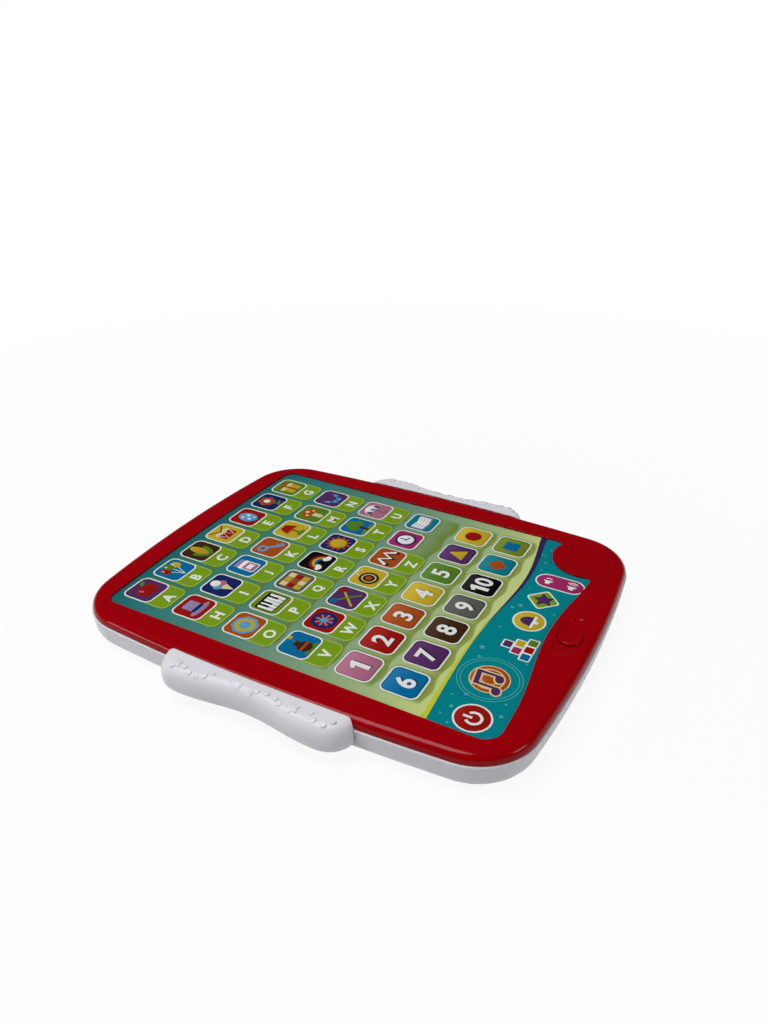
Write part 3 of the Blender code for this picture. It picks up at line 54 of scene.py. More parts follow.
# Sizes of the frame's casing, in metres, that the finer pieces repeat
FIT = 0.3 * MM
HALF_WIDTH = 100.7 * MM
HALF_HEIGHT = 125.1 * MM
CORNER_RADIUS = 31 * MM
SIDE_BOW = 3.5 * MM
END_BOW = 3.35 * MM
DOOR_TOP = 2.1 * MM
BAY_CEILING = 13.2 * MM
BAY_TOP = 14.5 * MM
BAY_WALL = 1.6 * MM
BAY_FOOT = 2 * MM
PANEL_Z = 15.1 * MM
PARTING_Z = 15.1 * MM
SENSOR_Z = 17.4 * MM
PLATE_Z = 17.6 * MM
PRINT_Z = 18.8 * MM
FACE_Z = 20.0 * MM
BACK_RADIUS = 9.0 * MM
SHELL_WALL = 2.4 * MM
SHELL_DRAFT = 0.6 * MM
RIM_RADIUS = 0.8 * MM
TONGUE_THICKNESS = 1.2 * MM
TONGUE_RISE = 1.5 * MM
BEZEL_SETBACK = 0.5 * MM
BEZEL_LEAN = math.radians(2)
BEZEL_WALL = 2.2 * MM
SHOULDER_RADIUS = 4.0 * MM
SHOULDER_INSET = 4.6 * MM
PLATE_ROUND = 1.5 * MM
TONGUE_OUTER = BEZEL_SETBACK + BEZEL_WALL + FIT
TONGUE_INNER = TONGUE_OUTER + TONGUE_THICKNESS
WINDOW_HALF = 83.5 * MM
WINDOW_TOP = 108.8 * MM
WINDOW_FOOT = -107.4 * MM
WINDOW_TOP_BOW = 2.2 * MM
WINDOW_HUMP = 5.7 * MM
WINDOW_HUMP_REACH = 64 * MM
WINDOW_TOP_CORNER = 6.5 * MM
WINDOW_FOOT_CORNER = 9.0 * MM
WINDOW_BITE_CORNER = 3.0 * MM
WINDOW_EDGE_RADIUS = 0.15 * MM
RABBET_GROW = 2.3 * MM
SPEAKER = Vector((72.4, -99.0)) * MM
SPEAKER_RADIUS = 14.5 * MM
SPEAKER_RING_WALL = 1.2 * MM
SPEAKER_RING_FOOT = 12.6 * MM
ISLAND_RADIUS = 19.3 * MM
GRILLE_HOLE = 1.2 * MM
GRILLE_RINGS = ((16.6 * MM, 24), (14.0 * MM, 20), (11.4 * MM, 17), (8.8 * MM, 13))
# Shares of the hole's size at its lower and upper end
HOLE_ENDS = (0.45, 0.75)
DIMPLE_ENDS = (0.5, 0.85)
BUTTON_Y = -112 * MM
BUTTON_RADIUS = 6 * MM
BUTTON_RIM = 0.9 * MM
BUTTON_PLUNGER = 2.25 * MM
BUTTON_DISH = 0.6 * MM
BUTTON_FLANGE_Z = 14.3 * MM
BUTTON_HOLE_FOOT = 14.6 * MM
SCOOP_SIZE = (16.5 * MM, 7.3 * MM, 1.6 * MM)
SCOOP_PAD_FOOT = 15.6 * MM
SCOOP_PAD_GROW = 2 * MM
GRIP_LENGTH = 104 * MM
GRIP_Y = 1.5 * MM
GRIP_REACH = 10.3 * MM
GRIP_DIP = 3.4 * MM
GRIP_BULGE_AT = 36 * MM
GRIP_END = 15 * MM
GRIP_SEAM = 2.1 * MM
GRIP_BOTTOM = 5.8 * MM
GRIP_TOP = 19.8 * MM
# A grip's section: how far in, as a share of its reach, and how high, as a share of its height
GRIP_SECTION = ((0.30, 0.00), (0.12, 0.06), (0.03, 0.18), (0.0, 0.42), (0.03, 0.63),
                (0.11, 0.81), (0.25, 0.94), (0.46, 1.00))
MARK_RISE = 0.6 * MM
STAR_RADIUS = 3.3 * MM
STAR_WAIST = 0.6
# Marks on a grip, along it from its middle and out from the body's side
STARS = ((39.5 * MM, 4.6 * MM), (6 * MM, 3.6 * MM), (-24.5 * MM, 4 * MM))
DOT_RADIUS = 1.35 * MM
# Trails of dots: the middle of the arc, its reach along and out, its first and last angle, how many dots
DOT_ARCS = ((28 * MM, -1.5 * MM, 9.5 * MM, 8.5 * MM, 50, 150, 5),
            (-9.5 * MM, 5 * MM, 7.8 * MM, -2.9 * MM, 10, 170, 5),
            (-38.5 * MM, 2.2 * MM, 5.6 * MM, 4.4 * MM, 10, 170, 4))
POST_X = 89.1 * MM
POST_Y = 72.1 * MM
END_POST_X = 38 * MM
POST_OUT = 5.6 * MM
POST_RADIUS = 3 * MM
WELL_DEPTH = 6.0 * MM
WELL_FLOOR = 2 * MM
WELL_WALL = 1.9 * MM
WELL_FLARE = 1.4 * MM
SCREW_HEAD = 2.5 * MM
SCREW_SHAFT = 1.1 * MM
SCREW_HOLE = 1.4 * MM
DOOR_FOOT = -5.65 * MM
DOOR_CORNER = 4 * MM
SOFT_EDGE = 0.4 * MM
DOOR_FRAME_GROW = 2 * MM
DOOR_FRAME_FOOT_GROW = 3.6 * MM
DOOR_FRAME_TOP = 7 * MM
DOOR_PILOT = 2 * MM
DOOR_PILOT_TOP = 5.8 * MM
DOOR_TAB_X = 16 * MM
POCKET_HALF = 4.8 * MM
POCKET_FOOT = DOOR_FOOT - 1.9 * MM
POCKET_HEAD = DOOR_FOOT + 5.6 * MM
DOOR_SCREW_Y = 39.15 * MM
CELL_AXIS_Z = 7.65 * MM
CELL_BAND_FROM = 31 * MM
SPRING_TURNS = 3
SPRING_WIRE = 0.5 * MM


# Colours, written as they look on a screen and turned into what the shader wants

def colour(red, green, blue):
    def linear(value):
        share = value / 255
        return share / 12.92 if share < 0.04045 else ((share + 0.055) / 1.055) ** 2.4
    return (linear(red), linear(green), linear(blue), 1.0)


def scaled(tint, factor):
    return (*(min(1.0, part * factor) for part in tint[:3]), 1.0)


# Material nodes

class Finish:
    """A material under construction: its node tree, its shader and short ways to add nodes."""

    def __init__(self, name, roughness, metallic=0.0):
        self.material = bpy.data.materials.new(name)
        self.material.use_nodes = True
        self.tree = self.material.node_tree
        self.shader = self.tree.nodes["Principled BSDF"]
        self.set("Roughness", roughness)
        self.set("Metallic", metallic)
        self.place = self.node("TexCoord").outputs["Object"]

    def set(self, socket, value):
        self.shader.inputs[socket].default_value = value

    def node(self, kind, **inputs):
        made = self.tree.nodes.new(f"ShaderNode{kind}")
        for socket, value in inputs.items():
            self.feed(made.inputs[socket.replace("_", " ")], value)
        return made

    def feed(self, socket, value):
        if isinstance(value, bpy.types.NodeSocket):
            self.tree.links.new(value, socket)
        else:
            socket.default_value = value

    def to_shader(self, socket, value):
        self.tree.links.new(value, self.shader.inputs[socket])

    def noise(self, scale, detail=2.0):
        return self.node("TexNoise", Vector=self.place, Scale=scale, Detail=detail).outputs["Fac"]

    def axis(self, name):
        return self.node("SeparateXYZ", Vector=self.place).outputs[name]

    def span(self, value, low, high, first=0.0, last=1.0):
        made = self.node("MapRange", Value=value)
        for socket, number in zip(("From Min", "From Max", "To Min", "To Max"), (low, high, first, last)):
            made.inputs[socket].default_value = number
        return made.outputs["Result"]

    def blend(self, factor, first, second):
        made = self.tree.nodes.new("ShaderNodeMix")
        made.data_type = "RGBA"
        self.feed(made.inputs[0], factor)
        self.feed(made.inputs[6], first)
        self.feed(made.inputs[7], second)
        return made.outputs[2]

    def maths(self, operation, first, second):
        made = self.tree.nodes.new("ShaderNodeMath")
        made.operation = operation
        self.feed(made.inputs[0], first)
        self.feed(made.inputs[1], second)
        return made.outputs[0]

    def tint(self, value):
        self.to_shader("Base Color", value)

    def mottle(self, tint, amount, scale):
        """The base colour, drifting a little either side of the tint."""
        drift = self.span(self.noise(scale, 3), 0.3, 0.7)
        self.tint(self.blend(drift, scaled(tint, 1 - amount), scaled(tint, 1 + amount)))

    def sheen_drift(self, low, high, scale):
        self.to_shader("Roughness", self.span(self.noise(scale, 4), 0.3, 0.7, low, high))

    def grain(self, scale, depth):
        bump = self.node("Bump", Height=self.noise(scale), Distance=depth, Strength=1.0)
        self.to_shader("Normal", bump.outputs["Normal"])

    def shade(self):
        """How dark or pale a print layer is at a point, as its mesh says."""
        made = self.node("Attribute")
        made.attribute_name = "shade"
        return made.outputs["Fac"]


def set_stops(ramp, stops):
    """Gives a colour ramp these places and colours."""
    for _ in range(len(stops) - 2):
        ramp.color_ramp.elements.new(0.5)
    for element, (place, tint) in zip(ramp.color_ramp.elements, stops):
        element.position = place
        element.color = tint


def moulded(name, tint, roughness, drift=0.04, grain=(2600, 0.004), metallic=0.0, specular=0.5):
    """Moulded plastic or bare metal: slow colour drift, uneven gloss and a fine surface grain."""
    made = Finish(name, roughness, metallic)
    made.set("Specular IOR Level", specular)
    made.mottle(tint, drift, 45)
    made.sheen_drift(0.85 * roughness, 1.2 * roughness, 240)
    made.grain(grain[0], grain[1] * MM)
    return made.material


RED = moulded("red gloss plastic", colour(142, 0, 9), 0.13, grain=(900, 0.001), specular=0.12)
WHITE = moulded("white satin plastic", colour(206, 205, 211), 0.42, drift=0.015, grain=(3800, 0.012),
                specular=0.3)
GREY = moulded("grey plastic", colour(150, 150, 154), 0.5, grain=(2600, 0.01))
BLACK = moulded("black plastic", colour(26, 26, 28), 0.4)
FILM = moulded("clear sensor film", colour(190, 196, 188), 0.3)
STEEL = moulded("zinc plated steel", colour(196, 196, 192), 0.28, grain=(1500, 0.006), metallic=1.0)
PAPER = moulded("speaker paper", colour(44, 44, 47), 0.85, drift=0.2, grain=(3000, 0.06))
FOAM = moulded("grey foam", colour(92, 92, 96), 0.95, drift=0.2, grain=(2200, 0.15))
SILICONE = moulded("silicone rubber", colour(214, 210, 200), 0.55)
RED_WIRE = moulded("red insulation", colour(178, 22, 20), 0.4)
BLACK_WIRE = moulded("black insulation", colour(28, 28, 30), 0.4)


def board_finish():
    """Green solder mask with paler copper tracks and tinned pads showing through."""
    made = Finish("green circuit board", 0.35)
    tracks = made.node("TexBrick", Vector=made.place, Scale=160.0)
    tracks.inputs["Mortar Size"].default_value = 0.12
    tracks.inputs["Color1"].default_value = colour(18, 74, 36)
    tracks.inputs["Color2"].default_value = colour(22, 82, 40)
    tracks.inputs["Mortar"].default_value = colour(48, 120, 62)
    made.tint(tracks.outputs["Color"])
    made.sheen_drift(0.28, 0.45, 400)
    made.grain(1200, 0.01 * MM)
    return made.material


def cell_finish():
    """A dark printed sleeve with a copper band near the cell's button end, worn a little."""
    made = Finish("cell jacket", 0.3, 0.3)
    along = made.axis("Z")
    band = made.maths("GREATER_THAN", along, CELL_BAND_FROM)
    wear = made.span(made.noise(600, 4), 0.45, 0.62)
    sleeve = made.blend(wear, colour(34, 36, 42), colour(46, 49, 58))
    copper = made.blend(wear, colour(176, 112, 58), colour(196, 134, 78))
    made.tint(made.blend(band, sleeve, copper))
    made.sheen_drift(0.24, 0.4, 300)
    return made.material


BOARD = board_finish()
CELL = cell_finish()


# Steps, angles and meshes

def steps_between(first, last, count):
    """Evenly spaced numbers from first to last, in this many steps."""
    return [first + (last - first) * step / count for step in range(count + 1)]


def sweep(first, last, count):
    """Angles in radians from one in degrees to another, in this many steps."""
    return [math.radians(angle) for angle in steps_between(first, last, count)]


def turns(count):
    """Angles that divide a circle equally."""
    return steps_between(0, 2 * math.pi, count)[:-1]


def polar(radius, angle):
    return radius * Vector((math.cos(angle), math.sin(angle)))


def added(name, data):
    obj = bpy.data.objects.new(name, data)
    bpy.context.scene.collection.objects.link(obj)
    return obj


def evaluated(obj):
    """The mesh that an object comes out as; the object itself is taken away."""
    graph = bpy.context.evaluated_depsgraph_get()
    mesh = bpy.data.meshes.new_from_object(obj.evaluated_get(graph))
    bpy.data.objects.remove(obj)
    return mesh


def finished(bm, name, angle=32):
    bmesh.ops.recalc_face_normals(bm, faces=bm.faces)
    mesh = bpy.data.meshes.new(name)
    bm.to_mesh(mesh)
    bm.free()
    mesh.shade_smooth()
    mesh.set_sharp_from_angle(angle=math.radians(angle))
    return mesh


def bridge(bm, rings):
    """Faces between each ring of points and the next; a point met twice in a face counts once."""
    for lower, upper in zip(rings, rings[1:]):
        for index in range(len(lower)):
            corners = dict.fromkeys((lower[index - 1], lower[index], upper[index], upper[index - 1]))
            if len(corners) > 2:
                bm.faces.new(tuple(corners))


def loft(name, rings, angle=32):
    """A closed solid through rings of equally many points, filled at both ends."""
    bm = bmesh.new()
    loops = [[bm.verts.new(point) for point in ring] for ring in rings]
    bridge(bm, loops)
    bm.faces.new(loops[0])
    bm.faces.new(loops[-1])
    return finished(bm, name, angle)


def slab(name, outline, bottom, top):
    return loft(name, [raised(outline, bottom), raised(outline, top)])


def cylinders(name, centres, radius, bottom, top, sides=24, top_radius=None):
    bm = bmesh.new()
    for x, y in centres:
        middle = Matrix.Translation((x, y, (bottom + top) / 2))
        bmesh.ops.create_cone(bm, cap_ends=True, segments=sides, radius1=radius,
                              radius2=top_radius or radius, depth=top - bottom, matrix=middle)
    return finished(bm, name)


def boxes(name, corner_pairs):
    bm = bmesh.new()
    for low, high in corner_pairs:
        low, high = Vector(low), Vector(high)
        size = Matrix.Diagonal((*(high - low), 1))
        bmesh.ops.create_cube(bm, size=1, matrix=Matrix.Translation((low + high) / 2) @ size)
    return finished(bm, name)


def turned(name, profile, steps=48, closed=False):
    """A solid turned about Z from (radius, height) points; a point on the axis closes an end."""
    bm = bmesh.new()
    rings = []
    for radius, height in profile:
        if radius:
            rings.append([bm.verts.new((*polar(radius, angle), height)) for angle in turns(steps)])
        else:
            rings.append([bm.verts.new((0, 0, height))] * steps)
    bridge(bm, rings + rings[:1] if closed else rings)
    return finished(bm, name)


def heading(points, index):
    """The way a path runs at one of its points."""
    return points[min(index + 1, len(points) - 1)] - points[max(index - 1, 0)]


def tube(name, points, radius, sides=8):
    """A round bar along the points, with flat ends."""
    rings = []
    for index, point in enumerate(points):
        ahead = heading(points, index)
        across = ahead.cross(Vector((1, 0, 0))).normalized()
        other = ahead.cross(across).normalized()
        rings.append([point + radius * (math.cos(t) * across + math.sin(t) * other) for t in turns(sides)])
    return loft(name, rings, 60)


def combined(mesh, operation, *tools):
    """The mesh with other meshes cut from it or joined to it."""
    target = added(mesh.name, mesh)
    helpers = [added(tool.name, tool) for tool in tools]
    for helper in helpers:
        modifier = target.modifiers.new(helper.name, "BOOLEAN")
        modifier.operation = operation
        modifier.solver = "EXACT"
        modifier.object = helper
    made = evaluated(target)
    for helper in helpers:
        bpy.data.objects.remove(helper)
    return made


def piece(name, mesh, material, body, slot, *nodes, location=(0, 0, 0), angle=32):
    """A piece of the tablet, riding on a body and standing for the nodes it names."""
    obj = added(name, mesh)
    obj.location = location
    if not mesh.materials:
        mesh.materials.append(material)
    mesh.shade_smooth()
    mesh.set_sharp_from_angle(angle=math.radians(angle))
    even = obj.modifiers.new("even shading", "WEIGHTED_NORMAL")
    even.keep_sharp = True
    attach(obj, body)
    if nodes:
        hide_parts(*nodes)
    return obj


# Outlines

def raised(outline, z):
    return [(x, y, z) for x, y in outline]


def body_outline(inset, side_steps=24, corner_steps=16):
    """The body's bowed outline, moved inwards by inset, anticlockwise from the foot of the right side."""
    reach = (HALF_WIDTH - CORNER_RADIUS - SIDE_BOW, HALF_HEIGHT - CORNER_RADIUS - END_BOW)
    bows = (SIDE_BOW, END_BOW)
    radius = CORNER_RADIUS - inset
    points = []
    for turn in range(4):
        out, along = reach[turn % 2], reach[1 - turn % 2]
        bow, next_bow = bows[turn % 2], bows[1 - turn % 2]
        spin = Matrix.Rotation(turn * math.pi / 2, 2)
        for t in steps_between(-1, 1, side_steps):
            normal = Vector((along, 2 * bow * t)).normalized()
            points.append(spin @ (Vector((out + bow * (1 - t * t), along * t)) + radius * normal))
        first = math.atan2(2 * bow, along)
        last = math.pi / 2 - math.atan2(2 * next_bow, out)
        for angle in steps_between(first, last, corner_steps)[1:-1]:
            points.append(spin @ (Vector((out, along)) + polar(radius, angle)))
    return points


def arc_rings(inset, z, radius, first, last, steps):
    """Rings of the body outline round an arc of its section, about a centre this far in and this high."""
    return [raised(body_outline(inset - radius * math.cos(angle)), z + radius * math.sin(angle))
            for angle in sweep(first, last, steps)]


def shoulder_rings(radius, last):
    return arc_rings(SHOULDER_INSET, FACE_Z - SHOULDER_RADIUS, radius, math.degrees(BEZEL_LEAN), last, 10)


def side_x(y):
    reach = HALF_HEIGHT - CORNER_RADIUS - END_BOW
    return HALF_WIDTH - SIDE_BOW * (y / reach) ** 2


def window_foot(x):
    lift = (1 + math.cos(math.pi * x / WINDOW_HUMP_REACH)) / 2 if abs(x) < WINDOW_HUMP_REACH else 0
    return WINDOW_FOOT + WINDOW_HUMP * lift


def window_top(x):
    return WINDOW_TOP - WINDOW_TOP_BOW * (x / WINDOW_HALF) ** 2


def rounded(path, steps=12):
    """Points with the corners that have a radius replaced by arcs."""
    points = []
    for index, (corner, radius) in enumerate(path):
        if not radius:
            points.append(corner)
            continue
        before = (path[index - 1][0] - corner).normalized()
        after = (path[(index + 1) % len(path)][0] - corner).normalized()
        half = before.angle(after) / 2
        centre = corner + (before + after).normalized() * radius / math.sin(half)
        start = corner + before * radius / math.tan(half) - centre
        turn = start.angle_signed(corner + after * radius / math.tan(half) - centre)
        for step in range(steps + 1):
            points.append(centre + Matrix.Rotation(-turn * step / steps, 2) @ start)
    return points


def window_outline(grow):
    """The window's outline moved outwards by grow, anticlockwise from its lower left corner."""
    half = WINDOW_HALF + grow
    bite = ISLAND_RADIUS - grow
    meet = Vector((SPEAKER.x - bite, WINDOW_FOOT - grow))
    for _ in range(20):
        meet.y = window_foot(meet.x) - grow
        meet.x = SPEAKER.x - math.sqrt(bite ** 2 - (meet.y - SPEAKER.y) ** 2)
    start = max(2 * WINDOW_FOOT_CORNER - half, -WINDOW_HUMP_REACH)
    stop = min(meet.x - 4 * WINDOW_BITE_CORNER, WINDOW_HUMP_REACH)
    path = [(Vector((-half, WINDOW_FOOT - grow)), WINDOW_FOOT_CORNER + grow)]
    path += [(Vector((x, window_foot(x) - grow)), 0) for x in steps_between(start, stop, 40)]
    path.append((meet, WINDOW_BITE_CORNER))
    first = (meet - SPEAKER).angle_signed(Vector((-1, 0))) + math.pi
    last = math.acos((half - SPEAKER.x) / bite)
    ease = 2.2 * WINDOW_BITE_CORNER / bite
    path += [(SPEAKER + polar(bite, angle), 0) for angle in steps_between(first - ease, last + ease, 24)]
    path.append((SPEAKER + polar(bite, last), WINDOW_BITE_CORNER))
    path.append((Vector((half, window_top(half) + grow)), WINDOW_TOP_CORNER + grow))
    flat = half - 2 * WINDOW_TOP_CORNER
    path += [(Vector((x, window_top(x) + grow)), 0) for x in steps_between(flat, -flat, 24)]
    path.append((Vector((-half, window_top(half) + grow)), WINDOW_TOP_CORNER + grow))
    return rounded(path)


def rounded_box(x, y, half_x, half_y, radius, steps=6):
    """A rectangle about a point, with rounded corners."""
    corners = [Vector((x + a * half_x, y + b * half_y)) for a, b in ((-1, -1), (1, -1), (1, 1), (-1, 1))]
    return rounded([(corner, radius) for corner in corners], steps)


def oval(x, y, half_x, half_y, angles):
    return [Vector((x + half_x * math.cos(angle), y + half_y * math.sin(angle))) for angle in angles]


def ellipse(half_x, half_y, centre=(0, 0), count=48):
    return oval(*centre, half_x, half_y, turns(count))


def arc_points(x, y, half_x, half_y, first, last, count=24):
    return oval(x, y, half_x, half_y, sweep(first, last, count))


def star_outline(radius, waist, points=5):
    return [polar(waist * radius if step % 2 else radius, math.pi * step / points + math.pi / 2)
            for step in range(2 * points)]


def smooth_path(knots, samples):
    """Points on a Catmull-Rom curve through the knots, samples of them to each span."""
    ends = [2 * knots[0] - knots[1], *knots, 2 * knots[-1] - knots[-2]]
    points = []
    for a, b, c, d in zip(ends, ends[1:], ends[2:], ends[3:]):
        for t in steps_between(0, 1, samples)[:-1]:
            points.append(0.5 * (2 * b + (c - a) * t + (2 * a - 5 * b + 4 * c - d) * t * t
                                 + (3 * b - a - 3 * c + d) * t ** 3))
    return [*points, knots[-1]]


# Casing

POSTS = [(side * POST_X, end * POST_Y) for end in (1, -1) for side in (-1, 1)]
POSTS += [(side * END_POST_X, window_top(END_POST_X) + POST_OUT) for side in (-1, 1)]
POSTS += [(side * END_POST_X, window_foot(END_POST_X) - POST_OUT) for side in (-1, 1)]


def build_front_bezel():
    """The glossy red frame, with a rounded shoulder, the window, the grille and the button's scoop."""
    outer, inner = BEZEL_SETBACK, BEZEL_SETBACK + BEZEL_WALL
    foot, inside, edge = PARTING_Z + FIT, PLATE_Z + MM, 0.2 * MM
    steps = ((inner + PLATE_ROUND, PLATE_Z), (inner, PLATE_Z - PLATE_ROUND / 2), (inner, foot),
             (outer + edge, foot), (outer, foot + edge))
    rings = [raised(body_outline(inset), z) for inset, z in steps]
    rings += shoulder_rings(SHOULDER_RADIUS, 90)
    ring_inner = SPEAKER_RADIUS + FIT
    ring_outer = ring_inner + SPEAKER_RING_WALL
    ring = turned("speaker_ring", [(ring_outer, inside), (ring_outer, SPEAKER_RING_FOOT),
                                   (ring_inner, SPEAKER_RING_FOOT), (ring_inner, inside)], closed=True)
    ring.transform(Matrix.Translation((*SPEAKER, 0)))
    pad = ellipse(SCOOP_SIZE[0] + SCOOP_PAD_GROW, SCOOP_SIZE[1] - FIT, (0, BUTTON_Y))
    blank = combined(loft("front_bezel", rings), "UNION", ring,
                     cylinders("posts", POSTS, POST_RADIUS, WELL_DEPTH + WELL_FLOOR + FIT, inside),
                     slab("pad", pad, SCOOP_PAD_FOOT, inside))

    edges = [(0, PRINT_Z)]
    for turn in sweep(0, 90, 6):
        edges.append((WINDOW_EDGE_RADIUS * (1 - math.cos(turn)),
                      FACE_Z - WINDOW_EDGE_RADIUS * (1 - math.sin(turn))))
    above = FACE_Z + MM
    edges.append((WINDOW_EDGE_RADIUS, above))
    scoop = bmesh.new()
    place = Matrix.Translation((0, BUTTON_Y, FACE_Z)) @ Matrix.Diagonal((*SCOOP_SIZE, 1))
    bmesh.ops.create_uvsphere(scoop, u_segments=64, v_segments=32, radius=1, matrix=place)
    cuts = [slab("rabbet", window_outline(RABBET_GROW), SENSOR_Z - FIT, PRINT_Z + FIT),
            loft("opening", [raised(window_outline(grow), z) for grow, z in edges]),
            finished(scoop, "scoop"),
            cylinders("button_hole", [(0, BUTTON_Y)], BUTTON_RADIUS + FIT, BUTTON_HOLE_FOOT, above, sides=64)]
    holes, dimples = [], []
    for index, (radius, count) in enumerate(GRILLE_RINGS, 1):
        bored = holes if radius + GRILLE_HOLE / 2 < ring_inner else dimples
        bored += [SPEAKER + polar(radius, 2 * math.pi * (step + index / 2) / count) for step in range(count)]
    for name, centres, bottom, ends in (("holes", holes, PLATE_Z - MM, HOLE_ENDS),
                                        ("dimples", dimples, FACE_Z - MM, DIMPLE_ENDS)):
        low, high = (share * GRILLE_HOLE / 2 for share in ends)
        cuts.append(cylinders(name, centres, low, bottom, above, sides=14, top_radius=high))
    shape = combined(blank, "DIFFERENCE", *cuts)
    piece("bezel", shape, RED, "case", "red_plastic", "front_bezel")


def build_rear_shell():
    """The white tray: a rounded back edge, a small radius at the rim, the battery bay and the screw wells."""
    thick_z = PARTING_Z - 2 * TONGUE_THICKNESS
    back = BACK_RADIUS + SHELL_DRAFT
    rings = arc_rings(back, BACK_RADIUS, BACK_RADIUS, -90, 0, 12)
    rings += arc_rings(RIM_RADIUS, PARTING_Z - RIM_RADIUS, RIM_RADIUS, 0, 90, 5)
    steps = ((TONGUE_OUTER, PARTING_Z), (TONGUE_OUTER, PARTING_Z + TONGUE_RISE),
             (TONGUE_INNER, PARTING_Z + TONGUE_RISE), (TONGUE_INNER, thick_z),
             (SHELL_WALL + SHELL_DRAFT / 2, thick_z - 2 * TONGUE_THICKNESS))
    rings += [raised(body_outline(inset), z) for inset, z in steps]
    rings += arc_rings(back, BACK_RADIUS, BACK_RADIUS - SHELL_WALL, 0, -90, 8)
    bay_low, bay_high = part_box("negative_contact")[0].x - FIT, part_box("positive_contact")[1].x + FIT
    cell_low, cell_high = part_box("cell_1")[0].y - FIT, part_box("cell_3")[1].y + FIT
    door_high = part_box("battery_door")[1]

    def door_box(side, foot, head, radius):
        """The door's outline, grown this much at its sides, its foot and its head."""
        low, high = DOOR_FOOT - foot, door_high.y + head
        return rounded_box(0, (low + high) / 2, door_high.x + side, (high - low) / 2, radius, 12)

    bay = ((bay_low - BAY_WALL, cell_low - BAY_WALL, BAY_FOOT),
           (bay_high + BAY_WALL, cell_high + BAY_WALL, BAY_TOP))
    blank = combined(
        loft("rear_shell", rings), "UNION",
        slab("frame", door_box(DOOR_FRAME_GROW, DOOR_FRAME_FOOT_GROW, DOOR_FRAME_GROW, DOOR_CORNER),
             MM, DOOR_FRAME_TOP),
        boxes("bay", [bay]),
        cylinders("wells", POSTS, SCREW_HEAD + WELL_WALL, MM, WELL_DEPTH + WELL_FLOOR))
    rebate = door_box(FIT, FIT, FIT, DOOR_CORNER + FIT)
    grown = FIT + SOFT_EDGE
    soft_edge = door_box(grown, grown, grown, DOOR_CORNER + grown)
    bore = SCREW_HEAD + 2 * FIT
    pockets = [((x - POCKET_HALF, POCKET_FOOT, DOOR_TOP + FIT),
                (x + POCKET_HALF, POCKET_HEAD, DOOR_PILOT_TOP)) for x in (-DOOR_TAB_X, DOOR_TAB_X)]
    shape = combined(
        blank, "DIFFERENCE",
        slab("rebate", rebate, -MM, DOOR_TOP + FIT),
        loft("rebate_edge", [raised(soft_edge, -MM / 2), raised(soft_edge, 0), raised(rebate, SOFT_EDGE)]),
        boxes("hollow", [((bay_low, cell_low, -MM), (bay_high, cell_high, BAY_CEILING))]),
        boxes("pockets", pockets),
        cylinders("door_pilot", [(0, DOOR_SCREW_Y)], DOOR_PILOT, 0, DOOR_PILOT_TOP),
        cylinders("bores", POSTS, bore, -MM, WELL_DEPTH, sides=40),
        cylinders("flares", POSTS, SCREW_HEAD + WELL_FLARE, -SOFT_EDGE, SOFT_EDGE, sides=40, top_radius=bore),
        cylinders("shafts", POSTS, SCREW_HOLE, 0, BAY_CEILING))
    piece("shell", shape, WHITE, "case", "white_plastic", "rear_shell")


GRIP_ROOT = side_x(GRIP_Y + GRIP_LENGTH / 2) - SHELL_WALL


def grip_reach(along, inset):
    """How far out a grip stands, this far along from its middle: two bulges, a dip and round ends."""
    end = GRIP_LENGTH / 2 - inset
    dip = GRIP_DIP * math.cos(math.pi * min(abs(along) / GRIP_BULGE_AT, 1) / 2) ** 2
    past = max(0.0, (abs(along) - (end - GRIP_END)) / GRIP_END)
    full = HALF_WIDTH + GRIP_REACH - inset - dip
    return GRIP_ROOT + (full - GRIP_ROOT) * math.sqrt(max(0.0, 1 - past ** 2.6))


def grip_outline(inset, steps=72):
    end = GRIP_LENGTH / 2 - inset
    points = [Vector((GRIP_ROOT - FIT, GRIP_Y + end)), Vector((GRIP_ROOT - FIT, GRIP_Y - end))]
    for step in range(1, steps):
        along = -end * math.cos(math.pi * step / steps)
        points.append(Vector((grip_reach(along, inset), GRIP_Y + along)))
    return points


def grip_top_z(along, out):
    """The height of a grip's top, this far along it and this far out from the body's side."""
    share = (grip_reach(along, 0) - HALF_WIDTH - out) / GRIP_REACH
    rise = GRIP_SECTION[-1][1]
    for (outer, low), (inner, high) in zip(GRIP_SECTION[3:], GRIP_SECTION[4:]):
        if outer <= share < inner:
            rise = low + (high - low) * (share - outer) / (inner - outer)
    return GRIP_BOTTOM + (GRIP_TOP - GRIP_BOTTOM) * rise


def domed(name, outline, along, out):
    """A low mark with this outline that follows the grip's top and has a softly rounded top of its own."""
    rings = []
    for share, rise in ((1.0, -1.0), (1.0, 0.3), (0.95, 0.72), (0.84, 0.92), (0.64, 1.0), (0.36, 1.0)):
        ring = []
        for point in outline:
            at = Vector((out, along)) + share * point
            ring.append((HALF_WIDTH + at.x, GRIP_Y + at.y, grip_top_z(at.y, at.x) + rise * MARK_RISE))
        rings.append(ring)
    return loft(name, rings)


